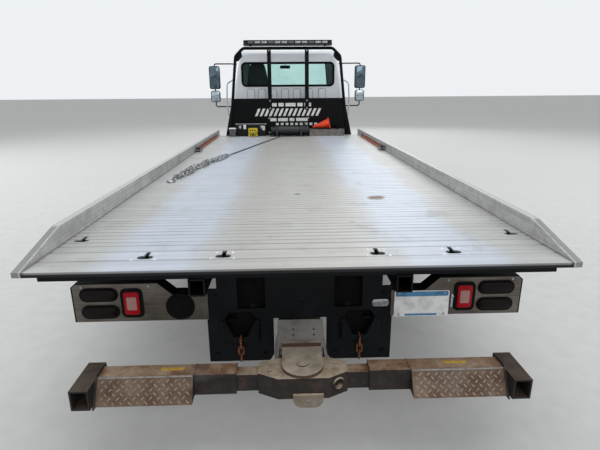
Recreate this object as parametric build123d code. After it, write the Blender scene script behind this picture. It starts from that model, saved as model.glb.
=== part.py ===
from build123d import *
import math
import os

# Flatbed tow truck with a sliding, tilting bed and a wheel lift at the tail.
# Millimetres. The ground is z = 0, +Y is forward, +X is the right side seen from behind.

# Driving dimensions: overall layout
TAIL_Y = -4630.0
DECK_LENGTH = 6400.0
DECK_WIDTH = 2590.0
DECK_TOP = 1000.0
DECK_THICK = 25.0
REAR_AXLE_Y = -1430.0
FRONT_AXLE_Y = 3750.0
CAB_BACK_Y = 2090.0
BUMPER_Y = 4770.0

# Driving dimensions: chassis frame
FRAME_TOP = 790.0
FRAME_HALF = 432.0
RAIL_DEPTH = 254.0
RAIL_FLANGE = 76.0
RAIL_WALL = 8.0
FRAME_FRONT_Y = 4560.0
FRAME_REAR_Y = -4250.0
TOW_EYE_Y = 4670.0
TOW_EYE_Z = 385.0
TOW_EYE_RADIUS = 22.0
TOW_EYE_THICK = 20.0
CROSSMEMBER_YS = (-3900.0, -2350.0, -700.0, 650.0, 1900.0, 4400.0)

# Driving dimensions: wheels
TYRE_RADIUS = 426.0
TYRE_WIDTH = 255.0
RIM_RADIUS = 247.5
FRONT_TRACK_HALF = 1035.0
DUAL_INNER_X = 775.0
DUAL_OUTER_X = 1067.0
RIM_FIT = 0.3
KING_X = 880.0
KING_RADIUS = 30.0
SPINDLE_RADIUS = 38.0
HUB_RADIUS = 85.0
RIM_HALF = 97.0
REAR_HUB_X = 641.0
PIN_FIT = 0.1

# Driving dimensions: tilt frame and bed
PIVOT_Y = -4040.0
PIVOT_Z = 830.0
PIVOT_RADIUS = 28.0
TILT_X = (350.0, 425.0)
TILT_Z = (800.0, 895.0)
TILT_FRONT_Y = 1690.0
TILT_REAR_Y = -4080.0
TILT_HEEL = 25.0
TILT_WALL = 8.0
STRIP_GAP = 0.3
SILL_X = (465.0, 545.0)
SILL_Z = (815.0, 905.0)
SILL_WALL = 8.0
BEAM_PITCH = 410.0
BEAM_WIDTH = 60.0
BEAM_WALL = 6.0

# Driving dimensions: tilt cylinders
CYL_X = 505.0
CYL_BASE = (-600.0, 540.0)
CYL_EYE = (500.0, 750.0)
BARREL_RADIUS = 45.0
BARREL_BORE = 32.0
ROD_RADIUS = 25.0
EYE_RADIUS = 38.0
EYE_HALF_WIDTH = 40.0
CYL_PIN_RADIUS = 20.0
BARREL_LENGTH = 760.0

# Driving dimensions: deck planks and their keyholes
DECK_LIP = 60.0
PLAIN_SEAMS = (126.0, 250.0)
GROOVE_START = 340.0
GROOVE_PITCH = 60.0
GROOVE_COUNT = 98
GROOVE_WIDTH = 12.0
GROOVE_SLOPE = 3.0
GROOVE_DEPTH = 4.0
KEY_HALF_WIDTH = 38.0
KEY_HALF_LENGTH = 22.0
KEY_SLOT_HALF = 11.0
KEY_SLOT_REACH = 75.0

# Driving dimensions: side rails of the deck
RAIL_HEIGHT = 100.0
RAIL_THICK = 40.0
RAIL_SKIRT = 95.0
RAIL_TAPER = 416.0

# Driving dimensions: headboard
HEAD_Y = 1770.0
HEAD_TUBE = 25.0
HEAD_TOP_Z = 2468.0
HEAD_CORNER_Z = 2340.0
PANEL_TOP_Z = 1640.0
HEAD_BASE_HALF = 1130.0
HEAD_PANEL_HALF = 990.0
HEAD_SHOULDER_HALF = 903.0
HEAD_TOP_HALF = 770.0
HEAD_BAR_X = 326.0
HEAD_BAR_WIDTH = 68.0
LIGHT_BAR_LENGTH = 1510.0
LIGHT_BAR_DEPTH = 290.0
LIGHT_BAR_Z = (2512.0, 2585.0)
LIGHT_LEG_X = 640.0
LIGHT_BAR_LAYERS = (
    # inset, low and high above the bar's underside
    (0.0, 0.0, 18.0), (7.0, 17.0, 63.0), (3.0, 62.0, 73.0),
)

# Driving dimensions: winch and the gear stowed at the headboard
WINCH_HEIGHT = 100.0
WINCH_DRUM = 60.0
WINCH_FLANGE = 80.0
CHEST_X = (-930.0, -400.0)
CHEST_HEIGHT = 195.0
CONTROL_X = (-710.0, -550.0)
CONTROL_HEIGHT = 145.0
TRAY_X = (362.0, 970.0)
TRAY_HEIGHT = 114.0
BUCKET = (-990.0, 65.0, 148.0)
TRAY_WALL = 8.0
GEAR_Y = HEAD_Y - 170.0
CONE_X = 560.0
CONE_RADIUS = 82.0
CONE_LENGTH = 290.0
CONE_FOOT = 190.0
COIL_X = 800.0
COIL_RADIUS = 75.0
COIL_WIRE = 13.0
STRAPS = (
    # side, rear end, front end, thickness
    (-1.0, 380.0, 1480.0, 34.0), (1.0, -420.0, 1350.0, 34.0),
)
STRAP_HEIGHT = 52.0
RATCHET_HEIGHT = 66.0

# Driving dimensions: tail plate and lamps
TAIL_PLATE_Y = -4260.0
TAIL_PLATE_THICK = 10.0
TAIL_PLATE_HALF = 515.0
TAIL_PLATE_NECK = 455.0
TAIL_PLATE_Z = (285.0, 800.0)
TAIL_SHOULDER_Z = 735.0
RECESS_X = (191.0, 345.0)
RECESS_Z = 615.0
BOOM_GAP_HALF = 148.0
BOOM_GAP_TOP = 552.0
CHAIN_SLOT_X = 333.0
CHAIN_SLOT_Z = (450.0, 592.0)
NOTCH_Z = 418.0
NOTCH_HALF = 8.0
PAD_THICK = 22.0
BRACKET_HALF = 1230.0
BRACKET_Z = (556.0, 781.0)
BRACKET_FLANGE = 80.0
BRACKET_STEP = 72.0
BRACKET_WALL = 5.0
BRACKET_GAP = 1.0

# Driving dimensions: wheel lift
BOOM_PIVOT_Y = -2700.0
BOOM_PIVOT_Z = 450.0
BOOM_HALF = 125.0
BOOM_Z = (345.0, 467.0)
BOOM_WALL = 10.0
BOOM_MOUTH_Y = -4430.0
BOOM_EYE_RADIUS = 45.0
LID_FRONT_Y = -4262.0
LID_Z = (470.0, 541.0)
LID_WALL = 6.0
CHEEK_X = (117.0, 127.0, 142.0)
CHEEK_REAR_Y = -4480.0
YOKE_TOP_Z = (486.0, 500.0)
YOKE_FOOT_Z = (352.0, 366.0)
YOKE_WEB_Y = (-4476.0, -4453.0)
YOKE_HALF = 100.0
YOKE_FOOT_HALF = 80.0
SLIDE_CLEAR = 3.0
CROSSBAR_Y = -4625.0
CROSSBAR_Z = (372.0, 482.0)
CROSSBAR_DEPTH = 90.0
SLEEVE_X = (320.0, 970.0)
RECEIVER_OUTER = 1060.0
RECEIVER_REACH = 100.0
HUB_PIN_RADIUS = 30.0
HUB_HALF = 215.0
HUB_NOSE_HALF = 120.0
HUB_REAR = 95.0
HUB_FRONT = 80.0
ARM_Z = (380.0, 468.0)
STEP_X = (520.0, 972.0)
STEP_REACH = 72.0
STEP_WALL = 8.0
LUG_X = (-49.0, 94.0)
LUG_Z = (332.0, 400.0)
LUG_THICK = 14.0
TONGUE_HOLE = (22.0, 362.0)
TONGUE_RADIUS = 9.0

# Driving dimensions: cab
CAB_HALF = 1030.0
CAB_ROOF_HALF = 880.0
CAB_FLOOR_Z = 850.0
CAB_BELT_Z = 1700.0
CAB_ROOF_Z = 2455.0
CAB_WALL = 45.0
GLASS_INSET = 18.0
GLASS_THICK = 6.0
CAB_SIDE_LEAN = 0.198
CAB_CORNER = 120.0
CAB_BACK_CORNER = 80.0
CAB_BROW = 170.0
WINDSCREEN_BASE = (3440.0, 1640.0)
WINDSCREEN_TOP = (2960.0, 2330.0)
PRESSING_XS = (-677.0, -477.0, -277.0, -58.0, 161.0, 381.0, 619.0)
PRESSING_HALF = 64.0
PRESSING_Z = (1180.0, 1800.0)
PRESSING_DEPTH = 9.0
FIREWALL_Y = 3440.0
DOOR_Y = (2310.0, 3330.0)
DOOR_Z = (900.0, 2300.0)
DOOR_GAP = 6.0
HINGE_X = 1042.0
HINGE_Y = 3333.0
HINGE_ZS = (1120.0, 1540.0)
HINGE_PIN = 6.0
HINGE_KNUCKLE = 12.0
HINGE_REACH = 30.0
REAR_WINDOW_Z = (1858.0, 2244.0)
REAR_WINDOW_HALF = 823.0
MIRROR_Y = 3110.0
MIRROR_OUTER = 1575.0

# Driving dimensions: seats
SEATS = (
    # middle, half width
    (-480.0, 250.0), (470.0, 300.0),
)

# Driving dimensions: tanks, steps, boxes and exhaust
FUEL_TANK = (800.0, 560.0, 260.0)
FUEL_TANK_Y = (2330.0, 3130.0)
TANK_STRAP_YS = (2400.0, 3010.0)
HANGER_WIDTH = 50.0
CAB_STEP_X = (1030.0, 1120.0)
CAB_STEP_ZS = (430.0, 700.0)
CAB_STEP_THICK = 30.0
BATTERY_BOX_X = (560.0, 1032.0)
BATTERY_BOX_Y = (2400.0, 3100.0)
BATTERY_BOX_Z = (400.0, 770.0)
TOOL_BOX_X = (600.0, 1180.0)
TOOL_BOX_Y = (650.0, 1700.0)
TOOL_BOX_Z = (380.0, 800.0)
MUFFLER = (680.0, 560.0, 110.0)
MUFFLER_Y = (-700.0, 300.0)
EXHAUST_PIPE = 50.0
FLAP_X = (640.0, 1200.0)
FLAP_Y = REAR_AXLE_Y - 560.0
FLAP_Z = (200.0, 780.0)
FLAP_THICK = 8.0

# Driving dimensions: engine and propeller shaft
ENGINE_X = 330.0
ENGINE_Y = (3500.0, 4340.0)
ENGINE_Z = (560.0, 1250.0)
GEARBOX_REAR_Y = 2650.0
GEARBOX_HALF = 200.0
GEARBOX_Z = (580.0, 835.0)
SHAFT_RADIUS = 50.0
SHAFT_FRONT_Z = 700.0
DIFF_NOSE = 290.0

# Driving dimensions: hood
HOOD_REAR_Y = FIREWALL_Y + 12
HOOD_FRONT_Y = 4660.0
HOOD_SHELL = 30.0
HOOD_FRONT_Z = 745.0
HOOD_SIDE_Z = 640.0
HOOD_CROWN = 150.0
HOOD_SECTIONS = (
    # y, half width, top
    (HOOD_REAR_Y, 860.0, 1600.0), (4100.0, 760.0, 1520.0), (HOOD_FRONT_Y, 660.0, 1360.0),
)
FENDER_HALF = 1150.0
FENDER_EDGE = 90.0
ARCH_RADIUS = 520.0
HOOD_PIN = (4700.0, 762.0)
HOOD_PIN_RADIUS = 9.0
GRILLE_HALF = 620.0
GRILLE_Z = (800.0, 1180.0)


# Small helpers for blocks, extruded outlines and round bars

def block(x, y, z):
    size = Box(x[1] - x[0], y[1] - y[0], z[1] - z[0])
    return Pos((x[0] + x[1]) / 2, (y[0] + y[1]) / 2, (z[0] + z[1]) / 2) * size


def flat_shape(points, corner):
    """Closed outline as a face; corner is a radius for all corners, or one for each point, 0 for sharp."""
    face = make_face(Polyline(*points, close=True))
    radii = corner if isinstance(corner, tuple) else (corner,) * len(points)
    for (across, up), radius in zip(points, radii):
        if radius:
            face = fillet(face.vertices().sort_by_distance((across, up, 0))[0], radius)
    return face


def outline(points, plane, direction, depth, corner):
    return extrude(plane * flat_shape(points, corner), amount=depth, dir=direction)


def side_outline(points, x, corner=0):
    """Extrude (y, z) points from x[0] to x[1]."""
    plane = Plane((x[0], 0, 0), x_dir=(0, 1, 0), z_dir=(1, 0, 0))
    return outline(points, plane, (1, 0, 0), x[1] - x[0], corner)


def rear_outline(points, y, corner=0):
    """Extrude (x, z) points from y[0] to y[1]."""
    plane = Plane((0, y[1], 0), x_dir=(1, 0, 0), z_dir=(0, -1, 0))
    return outline(points, plane, (0, -1, 0), y[1] - y[0], corner)


def plan_outline(points, z, corner=0):
    """Extrude (x, y) points from z[0] to z[1]."""
    plane = Plane((0, 0, z[0]), x_dir=(1, 0, 0), z_dir=(0, 0, 1))
    return outline(points, plane, (0, 0, 1), z[1] - z[0], corner)


def bar_x(x, y, z, radius):
    return Pos((x[0] + x[1]) / 2, y, z) * Rot(0, 90, 0) * Cylinder(radius, x[1] - x[0])


def bar_y(x, y, z, radius):
    return Pos(x, (y[0] + y[1]) / 2, z) * Rot(90, 0, 0) * Cylinder(radius, y[1] - y[0])


def bar_z(x, y, z, radius):
    return Pos(x, y, (z[0] + z[1]) / 2) * Cylinder(radius, z[1] - z[0])


def tube_y(x, y, z, wall):
    """Square tube along Y with x and z ranges, open at both ends."""
    inner_x = (x[0] + wall, x[1] - wall)
    inner_z = (z[0] + wall, z[1] - wall)
    return block(x, y, z) - block(inner_x, (y[0] - 1, y[1] + 1), inner_z)


def mirrored(shape):
    return mirror(shape, about=Plane.YZ)


def pair(shape):
    return [shape, mirrored(shape)]


def fuse(shapes):
    first = shapes[0]
    return first.fuse(*shapes[1:]) if len(shapes) > 1 else first


def round_path(points, radius, tube_radius):
    """Round bar along a polyline with its corners rounded."""
    path = FilletPolyline(*points, radius=radius)
    start = Plane(origin=path @ 0, z_dir=path % 0)
    return sweep(start * Circle(tube_radius), path=path)


NODES = {}


def node(name, *shapes):
    solids = []
    for shape in shapes:
        solids.extend(shape.solids())
    NODES[name] = Compound(children=[Solid(s.wrapped) for s in solids]) if len(solids) > 1 else solids[0]


# Chassis frame

def frame_rails():
    rail_x = (FRAME_HALF - RAIL_FLANGE, FRAME_HALF)
    rail_y = (FRAME_REAR_Y, FRAME_FRONT_Y)
    rail_z = (FRAME_TOP - RAIL_DEPTH, FRAME_TOP)
    hollow_z = (rail_z[0] + RAIL_WALL, rail_z[1] - RAIL_WALL)
    hollow = block((rail_x[0] - 1, FRAME_HALF - RAIL_WALL), (rail_y[0] - 1, rail_y[1] + 1), hollow_z)
    shapes = pair(block(rail_x, rail_y, rail_z) - hollow)
    web_x = FRAME_HALF - RAIL_WALL / 2
    for y in CROSSMEMBER_YS:
        member_z = (rail_z[0] + 40, rail_z[1] - 60)
        pocket = block((-web_x, web_x), (y - 30, y + 40), (member_z[0] + 8, member_z[1] - 8))
        shapes.append(block((-web_x, web_x), (y - 38, y + 38), member_z) - pocket)
    lug = side_outline(
        [(PIVOT_Y - 90, 640), (PIVOT_Y + 90, 640), (PIVOT_Y + 50, 875), (PIVOT_Y - 50, 875)],
        (FRAME_HALF, FRAME_HALF + 18),
    )
    lug -= bar_x((FRAME_HALF - 5, FRAME_HALF + 25), PIVOT_Y, PIVOT_Z, PIVOT_RADIUS + PIN_FIT)
    shapes += pair(lug)
    base_y = CYL_BASE[0]
    base = side_outline(
        [(base_y - 90, 560), (base_y + 90, 560), (base_y + 60, 480), (base_y - 60, 480)],
        (FRAME_HALF - 4, FRAME_HALF + 20),
    )
    pin = bar_x((FRAME_HALF, CYL_X + BARREL_RADIUS + 5), CYL_BASE[0], CYL_BASE[1], CYL_PIN_RADIUS)
    cap_x = CYL_X + BARREL_RADIUS + 3
    cap = bar_x((cap_x, cap_x + 12), CYL_BASE[0], CYL_BASE[1], CYL_PIN_RADIUS + 10)
    shapes += pair(base) + pair(pin) + pair(cap)
    ear_y = BOOM_PIVOT_Y
    boom_ear = side_outline(
        [(ear_y - 70, 560), (ear_y + 70, 560), (ear_y + 40, 400), (ear_y - 40, 400)],
        (BOOM_HALF + 6, BOOM_HALF + 24),
    )
    shapes += pair(boom_ear)
    shapes.append(block((-web_x, web_x), (BOOM_PIVOT_Y - 70, BOOM_PIVOT_Y + 70), (548, 566)))
    shapes.append(bar_x((-BOOM_HALF - 24, BOOM_HALF + 24), BOOM_PIVOT_Y, BOOM_PIVOT_Z, 25))
    return fuse(shapes) - propeller_shaft(SHAFT_RADIUS + 20)


# Axles and springs

def leaf_spring(x, axle_y, axle_z, reach, eye_z):
    half = 38.0
    leaves = []
    for index in range(3):
        length = reach * (1 - 0.22 * index)
        top = axle_z + 60 - 16 * index
        end = eye_z - 12 - 16 * index
        leaves.append(side_outline(
            [
                (axle_y - length, end), (axle_y, top), (axle_y + length, end),
                (axle_y + length, end - 17), (axle_y, top - 17), (axle_y - length, end - 17),
            ],
            (x - half, x + half),
        ))
    for end_y in (axle_y - reach, axle_y + reach):
        leaves.append(bar_x((x - half, x + half), end_y, eye_z - 18, 24))
    return leaves


def front_axle():
    beam = rear_outline(
        [
            (-860, 430), (-700, 430), (-560, 345), (560, 345), (700, 430), (860, 430),
            (860, 340), (720, 340), (580, 250), (-580, 250), (-720, 340), (-860, 340),
        ],
        (FRONT_AXLE_Y - 45, FRONT_AXLE_Y + 45),
    )
    shapes = [beam]
    for leaf in leaf_spring(FRAME_HALF - 38, FRONT_AXLE_Y, 345, 640, 520):
        shapes += pair(leaf)
    pad = block((FRAME_HALF - 85, FRAME_HALF + 10), (FRONT_AXLE_Y - 70, FRONT_AXLE_Y + 70), (330, 370))
    shapes += pair(pad)
    for y in (FRONT_AXLE_Y - 640, FRONT_AXLE_Y + 640):
        hanger = block((FRAME_HALF - 60, FRAME_HALF - 16), (y - 25, y + 25), (505, FRAME_TOP - RAIL_DEPTH))
        shapes += pair(hanger)
    king = bar_z(KING_X, FRONT_AXLE_Y, (264, 506), KING_RADIUS)
    return fuse(shapes + pair(king))


def rear_axle():
    housing = bar_x((-610, 610), REAR_AXLE_Y, TYRE_RADIUS, 72)
    diff = bar_x((-110, 110), REAR_AXLE_Y, TYRE_RADIUS, 200)
    diff = fillet(diff.edges(), 60)
    nose = bar_y(0, (REAR_AXLE_Y, REAR_AXLE_Y + DIFF_NOSE), TYRE_RADIUS, 95)
    shapes = [housing, diff, nose]
    for leaf in leaf_spring(FRAME_HALF + 60, REAR_AXLE_Y, TYRE_RADIUS + 85, 640, 560):
        shapes += pair(leaf)
    seat = block((FRAME_HALF + 18, FRAME_HALF + 102), (REAR_AXLE_Y - 75, REAR_AXLE_Y + 75), (460, 560))
    shapes += pair(seat)
    for y in (REAR_AXLE_Y - 640, REAR_AXLE_Y + 640):
        hanger = block((FRAME_HALF, FRAME_HALF + 98), (y - 30, y + 30), (530, 640))
        shapes += pair(hanger)
    hub = bar_x((600, REAR_HUB_X - STRIP_GAP), REAR_AXLE_Y, TYRE_RADIUS, 60)
    return fuse(shapes + pair(hub))


# Engine, gearbox and propeller shaft as plain masses

def propeller_shaft(radius):
    rear_y = REAR_AXLE_Y + DIFF_NOSE
    run = GEARBOX_REAR_Y - rear_y
    drop = SHAFT_FRONT_Z - TYRE_RADIUS
    middle = Pos(0, (GEARBOX_REAR_Y + rear_y) / 2, (SHAFT_FRONT_Z + TYRE_RADIUS) / 2)
    lean = math.degrees(math.atan2(drop, run))
    return middle * Rot(90 + lean, 0, 0) * Cylinder(radius, math.hypot(run, drop))


def driveline():
    engine = block((-ENGINE_X, ENGINE_X), ENGINE_Y, ENGINE_Z)
    gearbox = block((-GEARBOX_HALF, GEARBOX_HALF), (GEARBOX_REAR_Y - 5, ENGINE_Y[0] + 5), GEARBOX_Z)
    mounts = pair(block((ENGINE_X - 5, FRAME_HALF - RAIL_FLANGE), (3900, 4000), (700, FRAME_TOP)))
    yoke = bar_y(0, (REAR_AXLE_Y + DIFF_NOSE, REAR_AXLE_Y + DIFF_NOSE + 60), TYRE_RADIUS, SHAFT_RADIUS + 10)
    nose = block((-150, 150), (REAR_AXLE_Y, REAR_AXLE_Y + DIFF_NOSE), (TYRE_RADIUS - 150, TYRE_RADIUS + 150))
    return fuse([engine, gearbox, propeller_shaft(SHAFT_RADIUS), yoke] + mounts) - nose


# Tanks, steps, boxes and exhaust along the frame

def hanger(reach_x, y, z):
    """Short arm that carries a tank or box on the frame rail."""
    return block((FRAME_HALF, reach_x), (y, y + HANGER_WIDTH), z)


def cab_steps(y):
    return [block(CAB_STEP_X, y, (z, z + CAB_STEP_THICK)) for z in CAB_STEP_ZS]


def side_tanks():
    """Round fuel tank with its straps on the left and the battery box on the right, each with two steps."""
    x, z, radius = FUEL_TANK
    core = bar_y(x, (FUEL_TANK_Y[0] - 30, FUEL_TANK_Y[1] + 70), z, radius - 10)
    left = [bar_y(x, FUEL_TANK_Y, z, radius)]
    for y in TANK_STRAP_YS:
        left.append(hanger(x - radius + 20, y, (500, 700)))
        left.append(block((x - 100, CAB_STEP_X[0] + 10), (y, y + HANGER_WIDTH), (420, 740)) - core)
    left += cab_steps((FUEL_TANK_Y[0] + 30, FUEL_TANK_Y[1] - 30))
    right = [block(BATTERY_BOX_X, BATTERY_BOX_Y, BATTERY_BOX_Z)]
    for y in (BATTERY_BOX_Y[0] + 50, BATTERY_BOX_Y[1] - 100):
        right.append(hanger(BATTERY_BOX_X[0] + 2, y, (560, 700)))
    right += cab_steps((BATTERY_BOX_Y[0] + 20, BATTERY_BOX_Y[1] - 20))
    return [mirrored(fuse(left)), fuse(right)]


def tool_boxes():
    """Box on each side with its door set back in the outer face."""
    box = block(TOOL_BOX_X, TOOL_BOX_Y, TOOL_BOX_Z)
    door_y = (TOOL_BOX_Y[0] + 50, TOOL_BOX_Y[1] - 50)
    door_z = (TOOL_BOX_Z[0] + 50, TOOL_BOX_Z[1] - 50)
    box -= block((TOOL_BOX_X[1] - 8, TOOL_BOX_X[1] + 5), door_y, door_z)
    latch_z = (door_z[1] - 90, door_z[1] - 50)
    latch_y = (door_y[0] + door_y[1]) / 2
    latch = block((TOOL_BOX_X[1] - 9, TOOL_BOX_X[1] - 1), (latch_y - 50, latch_y + 50), latch_z)
    shapes = [box, latch]
    for y in (TOOL_BOX_Y[0] + 70, TOOL_BOX_Y[1] - 140):
        shapes.append(hanger(TOOL_BOX_X[0] + 2, y, (600, 660)))
    return pair(fuse(shapes))


def exhaust():
    x, z, radius = MUFFLER
    muffler = bar_y(x, MUFFLER_Y, z, radius)
    pipe = bar_y(x, (MUFFLER_Y[1], MUFFLER_Y[1] + 260), z, EXHAUST_PIPE)
    clamp = block((FRAME_HALF, x), (-220, -180), (z - 30, z - 8))
    return fuse([muffler, pipe, clamp])


def front_bumper():
    section = [
        (BUMPER_Y - 70, 420), (BUMPER_Y - 12, 430), (BUMPER_Y, 470), (BUMPER_Y, 690),
        (BUMPER_Y - 20, 730),
        (BUMPER_Y - 90, 735), (BUMPER_Y - 90, 725), (BUMPER_Y - 26, 720), (BUMPER_Y - 10, 688),
        (BUMPER_Y - 10, 472), (BUMPER_Y - 20, 440), (BUMPER_Y - 70, 430),
    ]
    middle = side_outline(section, (-1000, 1000))
    end = []
    for side in (-1, 1):
        plan = [(side * 995, BUMPER_Y - 95), (side * 995, BUMPER_Y), (side * 1130, BUMPER_Y - 110),
                (side * 1130, BUMPER_Y - 150), (side * 1060, BUMPER_Y - 95)]
        end.append(plan_outline(plan, (440, 725)))
    horn = block((FRAME_HALF - 70, FRAME_HALF - RAIL_WALL), (FRAME_FRONT_Y - 110, BUMPER_Y - 8), (560, 715))
    hook_x = (FRAME_HALF - 52, FRAME_HALF - 52 + TOW_EYE_THICK)
    hook = block(hook_x, (TOW_EYE_Y - 50, TOW_EYE_Y + 50), (TOW_EYE_Z - 50, 565))
    hook = fillet(hook.edges().filter_by(Axis.X).group_by(Axis.Z)[0], 45)
    hook -= bar_x((hook_x[0] - 5, hook_x[1] + 5), TOW_EYE_Y, TOW_EYE_Z, TOW_EYE_RADIUS)
    pin_y, pin_z = HOOD_PIN
    ear = block((380, 400), (pin_y - 20, pin_y + 20), (700, pin_z + 18))
    ear -= bar_x((370, 410), pin_y, pin_z, HOOD_PIN_RADIUS + PIN_FIT)
    return fuse([middle] + end + pair(horn) + pair(hook) + pair(ear))


def mud_flaps():
    flap = block(FLAP_X, (FLAP_Y, FLAP_Y + FLAP_THICK), FLAP_Z)
    arm = bar_x((FRAME_HALF, FLAP_X[1] - 10), FLAP_Y + FLAP_THICK + 4, FLAP_Z[1] - 15, 12)
    return pair(flap + arm)


# Cab

def cab_section(inset):
    """Rear view of the cab: upright sides to the belt, then leaning in to the roof."""
    half = CAB_HALF - inset
    roof = CAB_ROOF_HALF - inset * (1 - CAB_SIDE_LEAN)
    top = CAB_ROOF_Z - inset
    floor = CAB_FLOOR_Z + inset
    return [
        (-half + 40, floor), (-half, floor + 180), (-half, CAB_BELT_Z), (-roof, top),
        (roof, top), (half, CAB_BELT_Z), (half, floor + 180), (half - 40, floor),
    ]


def cab_profile(inset):
    """Side view of the cab, with the windscreen's slope carried up to the roof."""
    slope = (WINDSCREEN_BASE[0] - WINDSCREEN_TOP[0]) / (WINDSCREEN_TOP[1] - WINDSCREEN_BASE[1])
    slant = math.hypot(1, slope)
    top = CAB_ROOF_Z - inset
    back = CAB_BACK_Y + inset
    floor = CAB_FLOOR_Z + inset
    brow_y = WINDSCREEN_BASE[0] - slope * (top - WINDSCREEN_BASE[1]) - inset * slant
    base_z = WINDSCREEN_BASE[1] - inset * (slant - 1) / slope
    front = FIREWALL_Y - inset
    return [(back, floor), (back, top), (brow_y, top), (front, base_z), (front, floor)]


def cab_body(inset):
    brow = (0, 0, CAB_BROW - inset, 0, 0)
    across = side_outline(cab_profile(inset), (-1300, 1300), brow)
    along = rear_outline(cab_section(inset), (CAB_BACK_Y - 100, FIREWALL_Y + 100), CAB_CORNER - inset)
    around_y = (CAB_BACK_Y - 200, FIREWALL_Y + 200)
    around = block((-1300, 1300), around_y, (CAB_FLOOR_Z - 200, CAB_ROOF_Z + 200))
    body = along - (around - across)
    back = body.faces().sort_by(Axis.Y)[0]
    return fillet(back.edges(), CAB_BACK_CORNER - inset)


def back_pressings():
    """Upright ribs pressed out of the back wall, side by side under the rear window."""
    ribs = []
    low, high = PRESSING_Z
    for x in PRESSING_XS:
        rib = rear_outline(
            [
                (x - PRESSING_HALF, low), (x + PRESSING_HALF, low),
                (x + PRESSING_HALF, high), (x - PRESSING_HALF, high),
            ],
            (CAB_BACK_Y - PRESSING_DEPTH, CAB_BACK_Y + 5), (0, 0, 30, 30),
        )
        ribs.append(chamfer(rib.faces().sort_by(Axis.Y)[0].edges(), PRESSING_DEPTH - 1))
    return ribs


def door_cut(grow):
    """Door outline in the side wall, grown by the door gap, and by twice that at the latch edge."""
    front = DOOR_Y[1] + grow
    back = DOOR_Y[0] - 2 * grow
    return side_outline(
        [
            (back, DOOR_Z[0] - grow), (front, DOOR_Z[0] - grow), (front, CAB_BELT_Z - 60),
            (WINDSCREEN_TOP[0] - 90 + grow, DOOR_Z[1] + grow), (back, DOOR_Z[1] + grow),
        ],
        (CAB_ROOF_HALF - 180, CAB_HALF + 60),
    )


def door_window():
    return side_outline(
        [
            (DOOR_Y[0] + 70, CAB_BELT_Z + 20), (DOOR_Y[1] - 120, CAB_BELT_Z + 20),
            (WINDSCREEN_TOP[0] - 170, DOOR_Z[1] - 70), (DOOR_Y[0] + 70, DOOR_Z[1] - 70),
        ],
        (CAB_ROOF_HALF - 200, CAB_HALF + 80),
    )


def windscreen_cut():
    return rear_outline(
        [(-850, WINDSCREEN_BASE[1] + 50), (850, WINDSCREEN_BASE[1] + 50), (760, 2290), (-760, 2290)],
        (WINDSCREEN_TOP[0] - 60, FIREWALL_Y + 200),
    )


def rear_window_cut():
    cut = block(
        (-REAR_WINDOW_HALF, REAR_WINDOW_HALF), (CAB_BACK_Y - 50, CAB_BACK_Y + CAB_WALL + 50), REAR_WINDOW_Z
    )
    return fillet(cut.edges().filter_by(Axis.Y), 70)


def cab_walls():
    return cab_body(0) - cab_body(CAB_WALL)


def cab_shell():
    shell = cab_walls() - rear_window_cut() - windscreen_cut()
    for cut in pair(door_cut(DOOR_GAP)):
        shell -= cut
    shapes = [shell] + back_pressings()
    for y in (2290, 3290):
        shapes += pair(block((340, 430), (y - 40, y + 40), (FRAME_TOP, CAB_FLOOR_Z + 5)))
    leaf_y = (HINGE_Y, HINGE_Y + 60)
    for knuckle_z in ((-2 * HINGE_REACH, -HINGE_REACH), (HINGE_REACH, 2 * HINGE_REACH)):
        for leaf in door_hinges(3, leaf_y, knuckle_z):
            shapes += pair(leaf)
    for middle in HINGE_ZS:
        z = (middle - 2 * HINGE_REACH, middle + 2 * HINGE_REACH)
        shapes += pair(bar_z(HINGE_X, HINGE_Y, z, HINGE_PIN))
    return fuse(shapes)


def glass_slab():
    return cab_body(GLASS_INSET) - cab_body(GLASS_INSET + GLASS_THICK)


def cab_glass():
    slab = glass_slab()
    screen = slab & windscreen_cut()
    rear = slab & rear_window_cut()
    return [screen, rear]


def door_hinges(inset, leaf_y, knuckle_z):
    """Leaves on the outer face with knuckles round the hinge pin's line."""
    shapes = []
    for middle in HINGE_ZS:
        low, high = middle + knuckle_z[0], middle + knuckle_z[1]
        shapes.append(block((CAB_HALF - inset, HINGE_X + 6), leaf_y, (low, high)))
        shapes.append(bar_z(HINGE_X, HINGE_Y, (low, high), HINGE_KNUCKLE))
    return shapes


def cab_door(side):
    leaf_y = (HINGE_Y - 90, HINGE_Y)
    wall = cab_walls() & door_cut(0)
    wall -= door_window()
    wall = fuse([wall] + door_hinges(3, leaf_y, (-HINGE_REACH + 1, HINGE_REACH - 1)))
    wall -= bar_z(HINGE_X, HINGE_Y, (HINGE_ZS[0] - 100, HINGE_ZS[1] + 100), HINGE_PIN + PIN_FIT)
    return wall if side > 0 else mirrored(wall)


def door_glass(side):
    slab = glass_slab() & door_window()
    return slab if side > 0 else mirrored(slab)


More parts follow.
